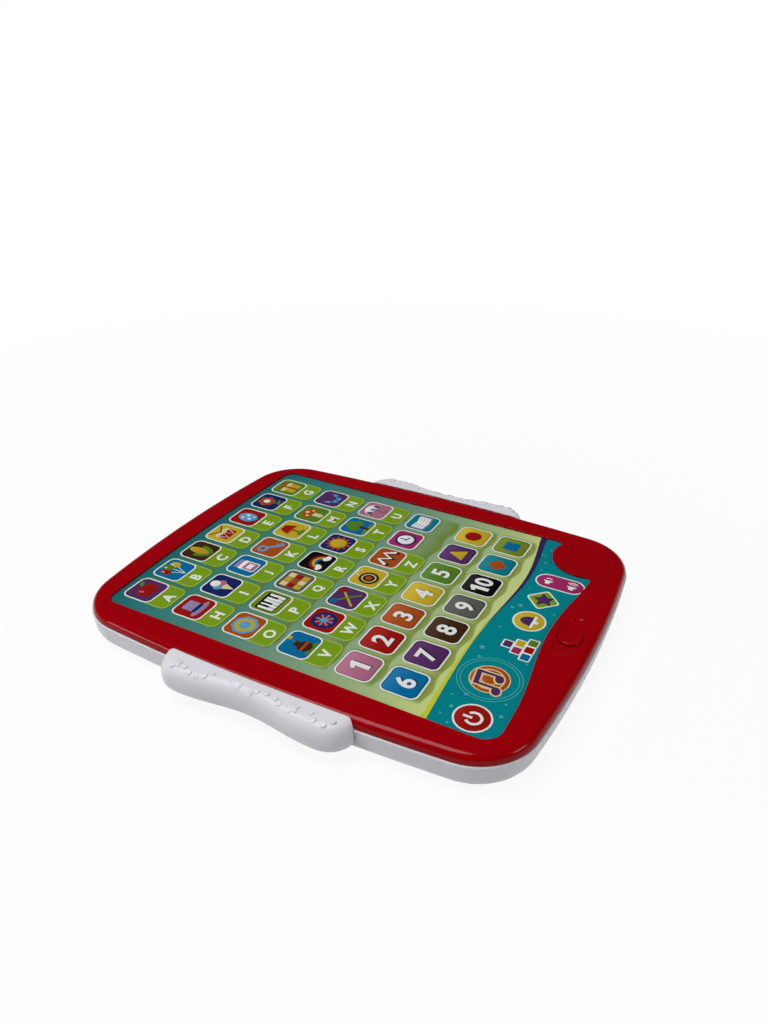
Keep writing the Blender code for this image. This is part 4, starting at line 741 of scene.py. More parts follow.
def build_grips():
    """Two white hand grips with raised stars and wavy trails of dots along their tops."""
    height = GRIP_TOP - GRIP_BOTTOM
    rings = []
    for inset, rise in smooth_path([Vector(knot) for knot in GRIP_SECTION], 3):
        z = GRIP_BOTTOM + height * min(1.0, max(0.0, rise))
        rings.append(raised(grip_outline(GRIP_REACH * max(0.0, inset)), z))
    marks = [(along, out, star_outline(STAR_RADIUS, STAR_WAIST)) for along, out in STARS]
    dot = ellipse(DOT_RADIUS, DOT_RADIUS, count=20)
    for along, out, reach_along, reach_out, first, last, count in DOT_ARCS:
        spots = arc_points(along, out, reach_along, reach_out, first, last, count - 1)
        marks += [(*spot, dot) for spot in spots]
    around = SHOULDER_RADIUS + FIT
    seam_turn = math.degrees(math.acos((SHOULDER_INSET - GRIP_SEAM) / around))
    body = [raised(body_outline(-FIT), -MM), raised(body_outline(-FIT), PARTING_Z),
            raised(body_outline(BEZEL_SETBACK - FIT), PARTING_Z + FIT),
            *shoulder_rings(around, seam_turn), raised(body_outline(GRIP_SEAM), FACE_Z + MM)]
    for side in ("right", "left"):
        stamps = [domed(f"mark_{index}", outline, along, out)
                  for index, (along, out, outline) in enumerate(marks)]
        grip = combined(loft(f"{side}_grip", rings), "DIFFERENCE", loft("fit", body))
        grip = combined(grip, "UNION", *stamps)
        if side == "left":
            grip.transform(Matrix.Diagonal((-1, 1, 1, 1)))
            grip.flip_normals()
        piece(f"grip_{side}", grip, WHITE, "case", "white_plastic", f"{side}_grip")


def build_home_button():
    """The push button with a soft rim and a dished top, and the dome that returns it."""
    top = FACE_Z - BUTTON_FLANGE_Z
    profile = [(0, top - BUTTON_DISH)]
    for share in (0.2, 0.4, 0.6, 0.75):
        profile.append((share * BUTTON_RADIUS, top - BUTTON_DISH + BUTTON_DISH * (share / 0.8) ** 2))
    for turn in sweep(0, 90, 6):
        profile.append((BUTTON_RADIUS - BUTTON_RIM + BUTTON_RIM * math.sin(turn),
                        top - BUTTON_RIM + BUTTON_RIM * math.cos(turn)))
    profile += [(BUTTON_RADIUS, MM), (BUTTON_RADIUS + MM, MM), (BUTTON_RADIUS + MM, 0),
                (BUTTON_PLUNGER, 0), (BUTTON_PLUNGER, -FIT), (0, -FIT)]
    piece("button", turned("button", profile, 64), RED, "button", "red_plastic", "home_button",
          location=(0, BUTTON_Y, BUTTON_FLANGE_Z))
    low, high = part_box("button_dome")
    tall, wide = high.z - low.z, high.x
    dome = [(0, tall), (0.5 * wide, tall), (0.56 * wide, 0.93 * tall), (0.62 * wide, 0.7 * tall),
            (0.72 * wide, 0.3 * tall), (0.8 * wide, 0.26 * tall), (wide, 0.26 * tall), (wide, 0), (0, 0)]
    mesh = turned("dome", dome)
    mesh.transform(Matrix.Translation((0, BUTTON_Y, low.z)))
    made = piece("dome", mesh, SILICONE, "case", "silicone", "button_dome")
    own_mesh(made)


def cross_recess(bottom, top):
    long, short = 0.6 * SCREW_HEAD, 0.16 * SCREW_HEAD
    arm = [(short, -short), (long, -short), (long, short)]
    outline = [Matrix.Rotation(quarter * math.pi / 2, 2) @ Vector(point)
               for quarter in range(4) for point in arm]
    return slab("recess", outline, bottom, top)


def screw_mesh(name, length, head_height):
    """A screw pointing up from the underside of its head, with a soft pan head and a cross recess."""
    profile = [(0, length), (SCREW_SHAFT / 2, length - SCREW_SHAFT), (SCREW_SHAFT, length - 2 * SCREW_SHAFT),
               (SCREW_SHAFT, 0), (SCREW_HEAD, 0)]
    for turn in sweep(0, 90, 5):
        profile.append((SCREW_HEAD * (0.6 + 0.4 * math.cos(turn)),
                        -head_height * (0.4 + 0.6 * math.sin(turn))))
    profile.append((0, -head_height))
    return combined(turned(name, profile, 36), "DIFFERENCE",
                    cross_recess(-head_height - MM, -0.4 * head_height))


def build_screws():
    mesh = screw_mesh("case_screw", PANEL_Z - WELL_DEPTH, 1.8 * MM)
    for index, (x, y) in enumerate(POSTS, 1):
        piece(f"screw_{index}", mesh, STEEL, "case", "steel", f"case_screw_{index}",
              location=(x, y, WELL_DEPTH - FIT))
    low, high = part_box("door_screw")
    under = DOOR_TOP - 3 * FIT
    piece("screw_door", screw_mesh("door_screw", high.z - under, under - low.z), STEEL, "door", "steel",
          "door_screw", location=(0, DOOR_SCREW_Y, under))


def build_door():
    """The battery door with softened edges, on the shape of its own node."""
    bm = bmesh.new()
    bm.from_mesh(NODES["battery_door"].data)
    bmesh.ops.remove_doubles(bm, verts=bm.verts, dist=1e-6)
    bmesh.ops.dissolve_limit(bm, angle_limit=math.radians(2), verts=bm.verts, edges=bm.edges)
    door = finished(bm, "door")
    door.materials.clear()
    made = piece("door", door, WHITE, "door", "white_plastic", "battery_door")
    bevel = made.modifiers.new("edges", "BEVEL")
    bevel.width = 0.2 * MM
    bevel.segments = 3
    bevel.limit_method = "ANGLE"
    bevel.angle_limit = math.radians(50)
    made.modifiers.move(1, 0)


def build_cells():
    """Cells with a sleeve rolled over their ends, a steel button and a steel base, and their springs."""
    for index in range(1, 4):
        low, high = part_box(f"cell_{index}")
        way = 1 if index % 2 else -1
        radius, length = (high.y - low.y) / 2, high.x - low.x
        body = length - 1.0 * MM
        roll = 0.5 * MM
        profile = [(0, length), (0.3 * radius, length), (0.36 * radius, length - 0.15 * MM),
                   (0.36 * radius, body - 0.2 * MM), (radius - 3 * roll, body - 0.2 * MM),
                   (radius - 2 * roll, body), (radius - roll, body),
                   (radius, body - roll), (radius, roll), (radius - roll, 0), (radius - 2 * roll, 0),
                   (radius - 3 * roll, 0.2 * MM), (0, 0.2 * MM)]
        mesh = turned(f"cell_{index}", profile, 40)
        mesh.materials.append(CELL)
        mesh.materials.append(STEEL)
        for face in mesh.polygons:
            out = max((mesh.vertices[v].co.xy.length for v in face.vertices))
            face.material_index = 1 if out < radius - 1.5 * roll else 0
        made = piece(f"battery_{index}", mesh, CELL, "case", "cell_jacket", f"cell_{index}")
        made.parent = None
        start = low.x if way > 0 else high.x
        made.matrix_world = (Matrix.Translation((start, (low.y + high.y) / 2, (low.z + high.z) / 2))
                             @ Matrix.Rotation(way * math.pi / 2, 4, "Y"))
        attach(made, "case")
        build_spring(index, way, radius)


def build_spring(index, way, cell_radius):
    low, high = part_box(f"cell_spring_{index}")
    wide, narrow = 0.62 * cell_radius, 0.30 * cell_radius
    length = high.x - low.x
    points = []
    for share in steps_between(0, 1, 32 * SPRING_TURNS):
        coil = polar(wide + (narrow - wide) * share, 2 * math.pi * SPRING_TURNS * share)
        points.append(Vector((SPRING_WIRE / 2 + (length - SPRING_WIRE) * share, *coil)))
    mesh = tube(f"spring_{index}", points, SPRING_WIRE / 2)
    start = low.x if way > 0 else high.x
    mesh.transform(Matrix.Translation((start, (low.y + high.y) / 2, CELL_AXIS_Z))
                   @ Matrix.Rotation(0 if way > 0 else math.pi, 4, "Z"))
    piece(f"spring_{index}", mesh, STEEL, "case", "steel", f"cell_spring_{index}")


def dress_nodes():
    """Materials for the frame's nodes that stay as they are."""
    dressed = (
        (GREY, ("backing_panel", "tail_socket")),
        (BOARD, ("main_board", "button_board")),
        (BLACK, ("controller_blob", "capacitor")),
        (FILM, ("sensor_sheet", "keypad_tail", "button_ribbon")),
        (PAPER, ("speaker_cone",)),
        (FOAM, ("speaker_gasket",)),
        (RED_WIRE, ("red_lead", "speaker_lead_red")),
        (BLACK_WIRE, ("black_lead", "speaker_lead_black")),
        (STEEL, ("speaker_basket", "speaker_magnet", "negative_contact", "positive_contact",
                 "left_bridge", "right_bridge", "button_board_screw_1", "button_board_screw_2",
                 "board_screw_1", "board_screw_2", "board_screw_3", "board_screw_4")),
        (backdrop_finish("printed film", False), ("printed_overlay",)),
    )
    for material, names in dressed:
        for name in names:
            mesh = NODES[name].data
            mesh.materials.clear()
            mesh.materials.append(material)


# The print: thin layers of ink on the film, in millimetres from the middle of the tablet

INKS = {name: colour(*levels) for name, levels in {
    "white": (207, 210, 207), "purple": (72, 38, 84), "blue": (4, 92, 138), "brown": (54, 33, 14),
    "yellow": (170, 148, 34), "red": (134, 16, 10), "navy": (20, 30, 84), "green": (72, 112, 28),
    "orange": (146, 66, 22), "olive": (98, 118, 24), "grey": (78, 79, 72), "black": (9, 9, 9),
    "pink": (150, 92, 116), "magenta": (140, 36, 86), "teal": (6, 106, 118), "lime": (108, 140, 22),
    "pale_lime": (152, 180, 86), "strip": (0, 116, 124), "pale_teal": (70, 148, 150),
    "lilac": (128, 116, 150), "cream": (196, 180, 130), "sky": (78, 140, 176), "dusk": (44, 32, 82),
    "lemon": (178, 182, 46),
}.items()}
# What the palest shade of an ink adds to its colour, and how dark the ink of a number's shadow is
INK_LIFT = 0.02
SHADOW_INK = 0.45
# The background's colours run this far above and below the middle
FILM_HALF = 110
# The film's background colour at these heights, from its foot to its head
BACKDROP = ((-84, (182, 194, 124)), (-68, (176, 188, 122)), (-46, (150, 170, 120)), (-22, (127, 153, 117)),
            (10, (99, 136, 115)), (42, (72, 120, 110)), (73, (50, 114, 109)), (90, (35, 107, 111)),
            (103, (29, 95, 99)))
# How thick one layer of ink is, and how far below the film's face each layer reaches
LEVEL = 0.012
INK_FOOT = -0.05
# The levels that the layers start on
TAB_LEVEL = 2
KEY_LEVEL = 3
TILE_LEVEL = 4
MOTIF_LEVEL = 6
# How dark or pale a layer is, at its foot and at its head
FLAT = (0.5, 0.5)
LIT = (0.35, 0.65)
DRAWN = {}
LETTERS = {}


def printed(made):
    """The print's even satin gloss."""
    made.set("Specular IOR Level", 0.15)
    made.sheen_drift(0.24, 0.27, 60)
    return made.material


def backdrop_finish(name, banded):
    """The printed film, deep teal to pale green; a banded layer darkens to leaf green along its foot."""
    made = Finish(name, 0.24)
    ramp = made.node("ValToRGB", Fac=made.span(made.axis("Y"), -FILM_HALF * MM, FILM_HALF * MM))
    set_stops(ramp, [((y + FILM_HALF) / (2 * FILM_HALF), colour(*tint)) for y, tint in BACKDROP])
    tint = ramp.outputs["Color"]
    if banded:
        low = made.span(made.axis("Y"), -70 * MM, 80 * MM)
        leaf = made.blend(low, colour(108, 124, 40), colour(70, 110, 42))
        tint = made.blend(made.shade(), tint, leaf)
    made.tint(tint)
    return printed(made)


def ink_finish(name, tint):
    """One ink: darker or paler with the layer's own shading, and speckled by the press."""
    made = Finish(f"ink {name}", 0.24)
    speckle = made.span(made.noise(5200, 1), 0.35, 0.65, -0.04, 0.04)
    depth = made.maths("ADD", made.shade(), speckle)
    pale = (*(1.3 * part + INK_LIFT for part in tint[:3]), 1.0)
    solid = made.blend(depth, scaled(tint, 0.72), scaled(tint, 1.28))
    made.tint(made.blend(made.span(depth, 0.62, 1.0), solid, pale))
    return printed(made)


def ink(name, outline, level, shading=FLAT, hole=None):
    """A flat layer of ink with this outline, and perhaps a hole of as many points."""
    DRAWN.setdefault(name, []).append(([Vector(point) for point in outline], hole, level, shading))


def stroke(points, width):
    """The outline of a line of this width through the points, with square ends."""
    left, right = [], []
    for index, point in enumerate(points):
        ahead = heading(points, index)
        across = Vector((-ahead.y, ahead.x)).normalized() * width / 2
        left.append(point + across)
        right.append(point - across)
    return left + right[::-1]


class Pen:
    """Draws a motif in its own units, -1 to 1 across a tile; each shape lies on top of the last."""

    def __init__(self, x, y, size, level):
        self.centre = Vector((x, y))
        self.size = size
        self.level = level

    def shape(self, name, points, shading=FLAT):
        ink(name, [self.centre + self.size * Vector(point) for point in points], self.level, shading)
        self.level += 1

    def spun(self, name, x, y, outline, turn, shading):
        spin = Matrix.Rotation(math.radians(turn), 2)
        self.shape(name, [Vector((x, y)) + spin @ point for point in outline], shading)

    def disc(self, name, x, y, rx, ry=None, turn=0, shading=LIT):
        self.spun(name, x, y, ellipse(rx, ry or rx, count=28), turn, shading)

    def box(self, name, x, y, half_x, half_y, radius=0.06, turn=0, shading=LIT):
        self.spun(name, x, y, rounded_box(0, 0, half_x, half_y, radius, 4), turn, shading)

    def star(self, name, x, y, radius, points=5, waist=0.5, turn=0):
        self.spun(name, x, y, star_outline(radius, waist, points), turn, FLAT)

    def pie(self, name, x, y, rx, ry, first, last):
        self.shape(name, arc_points(x, y, rx, ry, first, last), LIT)

    def line(self, name, points, width):
        self.shape(name, stroke([Vector(point) for point in points], width))

    def arc(self, name, x, y, rx, ry, first, last, width):
        self.shape(name, stroke(arc_points(x, y, rx, ry, first, last), width))

    def ring(self, name, x, y, radius, width):
        middle = self.centre + self.size * Vector((x, y))
        outer, inner = self.size * (radius + width / 2), self.size * (radius - width / 2)
        ink(name, ellipse(outer, outer, middle), self.level, hole=ellipse(inner, inner, middle))
        self.level += 1


def letter(name, text, x, y, height, level, weight):
    """Plain lettering, centred on a point and made bolder by its weight."""
    data = bpy.data.curves.new(text, "FONT")
    data.body = text
    data.size = 1.0
    data.offset = weight
    data.extrude = 0.5
    data.resolution_u = 5
    mesh = evaluated(added(text, data))
    corners = [vertex.co for vertex in mesh.vertices]
    low = Vector((min(c.x for c in corners), min(c.y for c in corners)))
    high = Vector((max(c.x for c in corners), max(c.y for c in corners)))
    scale = height / (high.y - low.y)
    for vertex in mesh.vertices:
        flat = (vertex.co.xy - (low + high) / 2) * scale + Vector((x, y))
        rise = level * LEVEL if vertex.co.z > 0 else INK_FOOT
        vertex.co = (*(flat * MM), PRINT_Z + rise * MM)
    LETTERS.setdefault(name, []).append(mesh)


# Motifs

def apple(pen):
    pen.line("brown", [(0, 0.35), (0.08, 0.72)], 0.12)
    pen.disc("green", 0.3, 0.62, 0.26, 0.12, 25)
    pen.disc("red", -0.2, -0.05, 0.42, 0.5)
    pen.disc("red", 0.2, -0.05, 0.42, 0.5)
    pen.disc("pink", -0.28, 0.12, 0.09, 0.16, 20)


def balloons(pen):
    for x, y, name in ((-0.42, 0.3, "red"), (0.42, 0.3, "yellow"), (0, 0.46, "green")):
        pen.line("white", [(x, y), (0.4 * x, -0.35), (0, -0.8)], 0.04)
        pen.disc(name, x, y, 0.28, 0.34)
        pen.disc("white", x - 0.09, y + 0.14, 0.05, 0.08, 20)


def corn(pen):
    pen.disc("green", -0.3, -0.3, 0.2, 0.55, 25)
    pen.disc("green", 0.3, -0.3, 0.2, 0.55, -25)
    pen.disc("yellow", 0, 0.12, 0.3, 0.68)
    for row in range(5):
        y = 0.5 - 0.22 * row
        pen.line("orange", [(-0.24, y), (0, y - 0.06), (0.24, y)], 0.045)


def drum(pen):
    pen.box("red", 0, -0.12, 0.56, 0.4, 0.12)
    pen.line("white", [(-0.56, 0.18), (-0.28, -0.46), (0, 0.18), (0.28, -0.46), (0.56, 0.18)], 0.06)
    pen.disc("cream", 0, 0.26, 0.58, 0.2)
    pen.line("brown", [(-0.62, 0.78), (0.05, 0.32)], 0.09)
    pen.line("brown", [(0.62, 0.78), (-0.05, 0.32)], 0.09)


def egg(pen):
    pen.disc("brown", 0, -0.62, 0.5, 0.14)
    pen.disc("sky", 0, -0.02, 0.5, 0.66)
    for x, y, r in ((-0.18, 0.28, 0.1), (0.2, 0.1, 0.13), (-0.14, -0.2, 0.12), (0.18, -0.36, 0.08)):
        pen.disc("white", x, y, r)


def flower(pen):
    pen.line("green", [(0, -0.1), (0.04, -0.85)], 0.1)
    pen.disc("green", 0.26, -0.6, 0.26, 0.11, 30)
    for step in range(6):
        turn = math.radians(60 * step)
        pen.disc("orange", 0.34 * math.cos(turn), 0.18 + 0.34 * math.sin(turn), 0.24)
    pen.disc("white", 0, 0.18, 0.22)


def gift(pen):
    pen.box("yellow", 0, -0.22, 0.54, 0.46)
    pen.box("cream", 0, 0.2, 0.62, 0.14)
    pen.box("orange", 0, -0.1, 0.11, 0.58, 0.02)
    pen.disc("orange", -0.24, 0.52, 0.26, 0.14, -25)
    pen.disc("orange", 0.24, 0.52, 0.26, 0.14, 25)


def hat(pen):
    pen.disc("lilac", 0, -0.4, 0.76, 0.2)
    pen.box("lilac", 0, 0.1, 0.42, 0.5, 0.1)
    pen.box("navy", 0, -0.2, 0.43, 0.11, 0.02)


def ice_cream(pen):
    pen.shape("cream", [(-0.32, -0.02), (0, -0.86), (0.32, -0.02)])
    pen.disc("sky", -0.2, 0.14, 0.28)
    pen.disc("pink", 0.2, 0.14, 0.28)
    pen.disc("white", 0, 0.44, 0.3)


def jar(pen):
    pen.box("white", 0, -0.14, 0.46, 0.58, 0.16)
    pen.box("pink", 0, -0.26, 0.38, 0.4, 0.12)
    pen.box("lilac", 0, 0.54, 0.42, 0.14, 0.05)
    pen.box("white", 0, -0.24, 0.26, 0.18, 0.04)


def key(pen):
    pen.ring("sky", -0.34, 0.32, 0.26, 0.17)
    pen.line("sky", [(-0.16, 0.14), (0.62, -0.62)], 0.17)
    pen.line("sky", [(0.36, -0.36), (0.54, -0.16)], 0.14)
    pen.line("sky", [(0.54, -0.54), (0.72, -0.34)], 0.14)


def lamp(pen):
    pen.line("brown", [(0, 0), (0, -0.66)], 0.12)
    pen.disc("green", 0, -0.66, 0.4, 0.14)
    pen.shape("red", [(-0.6, -0.04), (0.6, -0.04), (0.3, 0.7), (-0.3, 0.7)])
    pen.shape("orange", [(-0.6, -0.04), (0.6, -0.04), (0.54, 0.1), (-0.54, 0.1)])


def mushroom(pen):
    pen.box("cream", 0, -0.36, 0.2, 0.4, 0.12)
    pen.pie("orange", 0, -0.06, 0.68, 0.74, 0, 180)
    for x, y, r in ((-0.34, 0.2, 0.11), (0.06, 0.4, 0.14), (0.38, 0.14, 0.1)):
        pen.disc("cream", x, y, r)


def necklace(pen):
    pen.arc("white", 0, 0.5, 0.6, 1.0, 190, 350, 0.04)
    for step in range(9):
        turn = math.radians(195 + 150 * step / 8)
        bead = 0.1 + 0.07 * math.sin(math.pi * step / 8)
        pen.disc("sky" if step % 2 else "blue", 0.6 * math.cos(turn), 0.5 + math.sin(turn), bead)


def octagon(pen):
    for name, radius in (("sky", 0.76), ("yellow", 0.58), ("sky", 0.34)):
        pen.shape(name, arc_points(0, 0, radius, radius, 22.5, 337.5, 7))


def piano(pen):
    pen.box("black", 0, 0, 0.78, 0.6, 0.08)
    for step in range(5):
        pen.box("white", -0.58 + 0.29 * step, -0.04, 0.125, 0.5, 0.03)
        pen.level -= 1
    pen.level += 1
    for step in (0, 1, 3):
        pen.box("black", -0.435 + 0.29 * step, 0.16, 0.08, 0.32, 0.02)


def quilt(pen):
    tints = ("yellow", "red", "cream", "orange")
    for row in range(3):
        for column in range(3):
            pen.box(tints[(row + 2 * column) % 4], 0.46 * (column - 1), 0.46 * (row - 1), 0.21, 0.21, 0.03)
            pen.level -= 1
    pen.level += 1


def rainbow(pen):
    for name, radius in (("red", 0.72), ("yellow", 0.55), ("blue", 0.38)):
        pen.arc(name, 0, -0.34, radius, radius, 0, 180, 0.16)
    for x in (-0.56, 0.56):
        pen.disc("white", x, -0.4, 0.26, 0.18)
        pen.disc("white", 0.7 * x, -0.3, 0.16)


def sun(pen):
    pen.star("orange", 0, 0, 0.84, 12, 0.66)
    pen.disc("yellow", 0, 0, 0.5)


def tree(pen):
    pen.disc("olive", 0, -0.74, 0.72, 0.14)
    pen.box("brown", 0, -0.42, 0.11, 0.36, 0.03)
    for x, y, r in ((-0.32, 0.08, 0.34), (0.32, 0.08, 0.34), (0, 0.38, 0.42)):
        pen.disc("green", x, y, r)


def umbrella(pen):
    pen.arc("grey", 0.13, -0.55, 0.13, 0.16, 180, 360, 0.08)
    pen.line("grey", [(0, 0.1), (0, -0.56)], 0.08)
    pen.pie("white", 0, 0, 0.74, 0.7, 0, 180)
    for x in (-0.49, 0, 0.49):
        pen.pie("grey" if x else "lilac", x, 0, 0.2, 0.4, 0, 180)


def vase(pen):
    pen.disc("green", 0, -0.72, 0.6, 0.14)
    pen.line("green", [(0.02, 0.2), (0.24, 0.78)], 0.06)
    pen.disc("yellow", 0.26, 0.76, 0.14)
    curve = arc_points(0, -0.3, 0.42, 0.42, 140, 400, 20)
    pen.shape("brown", [*curve, (0.16, 0.12), (0.26, 0.32), (-0.26, 0.32), (-0.16, 0.12)])
    pen.box("orange", 0, -0.28, 0.41, 0.08, 0.02)


def wheel(pen):
    pen.ring("navy", 0, 0, 0.6, 0.22)
    for step in range(4):
        turn = math.radians(45 * step)
        arm = 0.52 * Vector((math.cos(turn), math.sin(turn)))
        pen.line("sky", [-arm, arm], 0.08)
    pen.disc("sky", 0, 0, 0.18)


def crossed_sticks(pen):
    for lean, name, tip in ((1, "yellow", "red"), (-1, "green", "blue")):
        pen.line(name, [(-0.6 * lean, -0.62), (0.52 * lean, 0.5)], 0.13)
        pen.disc(tip, 0.56 * lean, 0.54, 0.22)


def yo_yo(pen):
    pen.arc("white", 0.2, 0.5, 0.3, 0.36, 20, 180, 0.04)
    pen.disc("brown", -0.1, -0.1, 0.6)
    pen.ring("cream", -0.1, -0.1, 0.4, 0.07)
    pen.disc("orange", -0.1, -0.1, 0.2)


def zigzag(pen):
    for name, shift, width in (("black", -0.1, 0.26), ("white", 0.08, 0.22)):
        pen.line(name, [(-0.74, -0.3 + shift), (-0.36, 0.34 + shift), (0, -0.3 + shift),
                        (0.36, 0.34 + shift), (0.74, -0.3 + shift)], width)


def clock(pen):
    pen.disc("navy", 0, 0, 0.66)
    pen.disc("white", 0, 0, 0.52)
    pen.line("navy", [(0, 0), (0, 0.38)], 0.09)
    pen.line("navy", [(0, 0), (0.28, -0.14)], 0.09)
    pen.disc("blue", 0, 0, 0.09)


def book(pen):
    for side in (-1, 1):
        pen.shape("lilac", [(0, -0.5), (0.8 * side, -0.38), (0.8 * side, 0.5), (0, 0.38)])
        pen.shape("white", [(0, -0.38), (0.7 * side, -0.28), (0.7 * side, 0.5), (0, 0.4)])
        for row in range(3):
            pen.line("lilac", [(0.14 * side, 0.22 - 0.2 * row), (0.58 * side, 0.3 - 0.2 * row)], 0.05)
            pen.level -= 1
        pen.level += 1


def triangle(pen):
    corners = ((-0.62, -0.5), (0.62, -0.5), (0, 0.62))
    pen.shape("yellow", rounded([(Vector(corner), 0.08) for corner in corners], 4), (0.3, 0.7))


def circle(pen):
    pen.disc("red", 0, 0, 0.56)


def diamond(pen):
    pen.box("orange", 0, 0, 0.44, 0.44, 0.06, 45)


def square(pen):
    pen.box("blue", 0, 0, 0.5, 0.5, 0.06)


# Each row: its tiles' foot and head, its tabs' foot, and then each tile's letter, colour and picture
LETTER_ROWS = (
    (86.0, 104.3, 75.3, (
        ("A", "purple", apple), ("B", "blue", balloons), ("C", "brown", corn), ("D", "yellow", drum),
        ("E", "red", egg), ("F", "navy", flower), ("G", "green", gift))),
    (54.2, 72.2, 43.3, (
        ("H", "red", hat), ("I", "navy", ice_cream), ("J", "blue", jar), ("K", "orange", key),
        ("L", "yellow", lamp), ("M", "green", mushroom), ("N", "purple", necklace))),
    (22.5, 40.5, 11.5, (
        ("O", "orange", octagon), ("P", "olive", piano), ("Q", "grey", quilt), ("R", "black", rainbow),
        ("S", "navy", sun), ("T", "blue", tree), ("U", "pink", umbrella))),
    (-9.5, 8.3, -20.5, (
        ("V", "blue", vase), ("W", "red", wheel), ("X", "purple", crossed_sticks), ("Y", "yellow", yo_yo),
        ("Z", "orange", zigzag), ("", "magenta", clock), ("", "teal", book))),
)
NUMBER_ROWS = (
    (-43.0, -23.7, (("1", "pink", None), ("2", "red", None), ("3", "orange", None), ("4", "yellow", None),
                    ("5", "green", None), ("", "purple", triangle), ("", "yellow", circle))),
    (-66.7, -47.3, (("6", "blue", None), ("7", "purple", None), ("8", "brown", None), ("9", "grey", None),
                    ("10", "black", None), ("", "teal", diamond), ("", "olive", square))),
)
PITCH = 22
COLUMNS = [PITCH * (column - 3) for column in range(7)]
TILE_HALF = 9.4
TILE_RADIUS = 4.0
TILE_EDGE = 0.8
TAB_EDGE = 0.45
TAB_OVERLAP = 3
LETTER_DROP = 0.2
MOTIF_SCALE = 1.08
GLOSS_INSET = TILE_EDGE + 0.8
GLOSS_SHIFT = Vector((-0.2, 0.3))
LETTER_HEIGHT = 6.2
LETTER_WEIGHT = 0.035
NUMBER_HEIGHT = 10.2
NUMBER_WEIGHT = 0.028
NUMBER_SHADOW = 0.7
PAIR_SPREAD = 3.7
ONE = ((-0.06, -0.5), (0.2, -0.5), (0.2, 0.5), (0.02, 0.5), (-0.28, 0.3), (-0.2, 0.12), (-0.06, 0.2))


def draw_tile(x, low, high, tint, shading):
    y, half = (low + high) / 2, (high - low) / 2
    layers = (("white", 0, TILE_LEVEL, FLAT), (tint, TILE_EDGE, TILE_LEVEL + 1, shading))
    for name, inset, level, shades in layers:
        ink(name, rounded_box(x, y, TILE_HALF - inset, half - inset, TILE_RADIUS - inset), level, shades)


def draw_tab(text, x, foot, head):
    """The lime tab that hangs from a tile, with a paler edge and its letter."""
    for name, inset, level in (("pale_lime", 0.0, TAB_LEVEL), ("lime", TAB_EDGE, TAB_LEVEL + 1)):
        half = TILE_HALF - inset
        path = [(Vector((x - half, foot + inset)), TILE_RADIUS - inset),
                (Vector((x + half, foot + inset)), TILE_RADIUS - inset),
                (Vector((x + half, head + TAB_OVERLAP)), 0), (Vector((x - half, head + TAB_OVERLAP)), 0)]
        ink(name, rounded(path, 6), level)
    letter("white", text, x, (foot + head) / 2 - LETTER_DROP, LETTER_HEIGHT, TILE_LEVEL, LETTER_WEIGHT)


def draw_number(name, text, x, y, level):
    spread = PAIR_SPREAD if len(text) > 1 else 0.0
    if text.startswith("1"):
        ink(name, [Vector((x - spread, y)) + NUMBER_HEIGHT * Vector(point) for point in ONE], level)
    if text != "1":
        letter(name, text[-1], x + 0.85 * spread, y, NUMBER_HEIGHT, level, NUMBER_WEIGHT)


def draw_tiles():
    for low, high, foot, tiles in LETTER_ROWS:
        for x, (text, tint, motif) in zip(COLUMNS, tiles):
            if text:
                draw_tab(text, x, foot, low)
            draw_tile(x, low, high, tint, (0.5, 0.6))
            motif(Pen(x, (low + high) / 2, MOTIF_SCALE * (TILE_HALF - TILE_EDGE), MOTIF_LEVEL))
    for low, high, tiles in NUMBER_ROWS:
        y, half = (low + high) / 2, (high - low) / 2 - GLOSS_INSET
        for x, (text, tint, motif) in zip(COLUMNS, tiles):
            draw_tile(x, low, high, tint, (0.1, 0.5))
            gloss = rounded_box(x + GLOSS_SHIFT.x, y + GLOSS_SHIFT.y, TILE_HALF - GLOSS_INSET, half,
                                TILE_RADIUS - GLOSS_INSET)
            ink(tint, gloss, MOTIF_LEVEL, (0.4, 0.92))
            if text:
                draw_number(f"dark_{tint}", text, x + NUMBER_SHADOW, y - NUMBER_SHADOW, MOTIF_LEVEL + 1)
                draw_number("white", text, x, y, MOTIF_LEVEL + 2)
            else:
                motif(Pen(x, y, TILE_HALF - TILE_EDGE, MOTIF_LEVEL + 1))


# The strip of mode keys below the tiles

STRIP_KNOTS = ((-92, -74.9), (-83, -74.0), (-23, -71.5), (38, -76.0), (81, -70.6), (92, -68.6))
STRIP_GROW = 1.2 * MM
STRIP_DOTS = ((-76, -79, 0.5), (-70, -81.5, 0.9), (-63, -78.5, 0.5), (-80, -84, 0.7), (-58, -102, 0.6),
              (-66, -103, 0.9), (-33, -79, 0.8), (-28, -100.5, 0.5), (-7, -79, 0.6), (11, -78.5, 0.9),
              (15, -99, 0.6), (32, -80, 0.5), (37, -100, 0.8), (51, -80, 0.6), (59, -79.5, 0.9),
              (66, -77, 0.5), (73, -78, 0.7), (-9, -100, 0.7))
STRIP_STARS = ((-26, -77.5, 1.9, 10), (14.5, -81.5, 1.7, -14), (-60, -84, 1.3, 20), (66, -74.6, 1.5, 0))


def height_at(path, x):
    for a, b in zip(path, path[1:]):
        if a.x <= x <= b.x:
            return a.y + (b.y - a.y) * (x - a.x) / (b.x - a.x)
    return path[-1].y


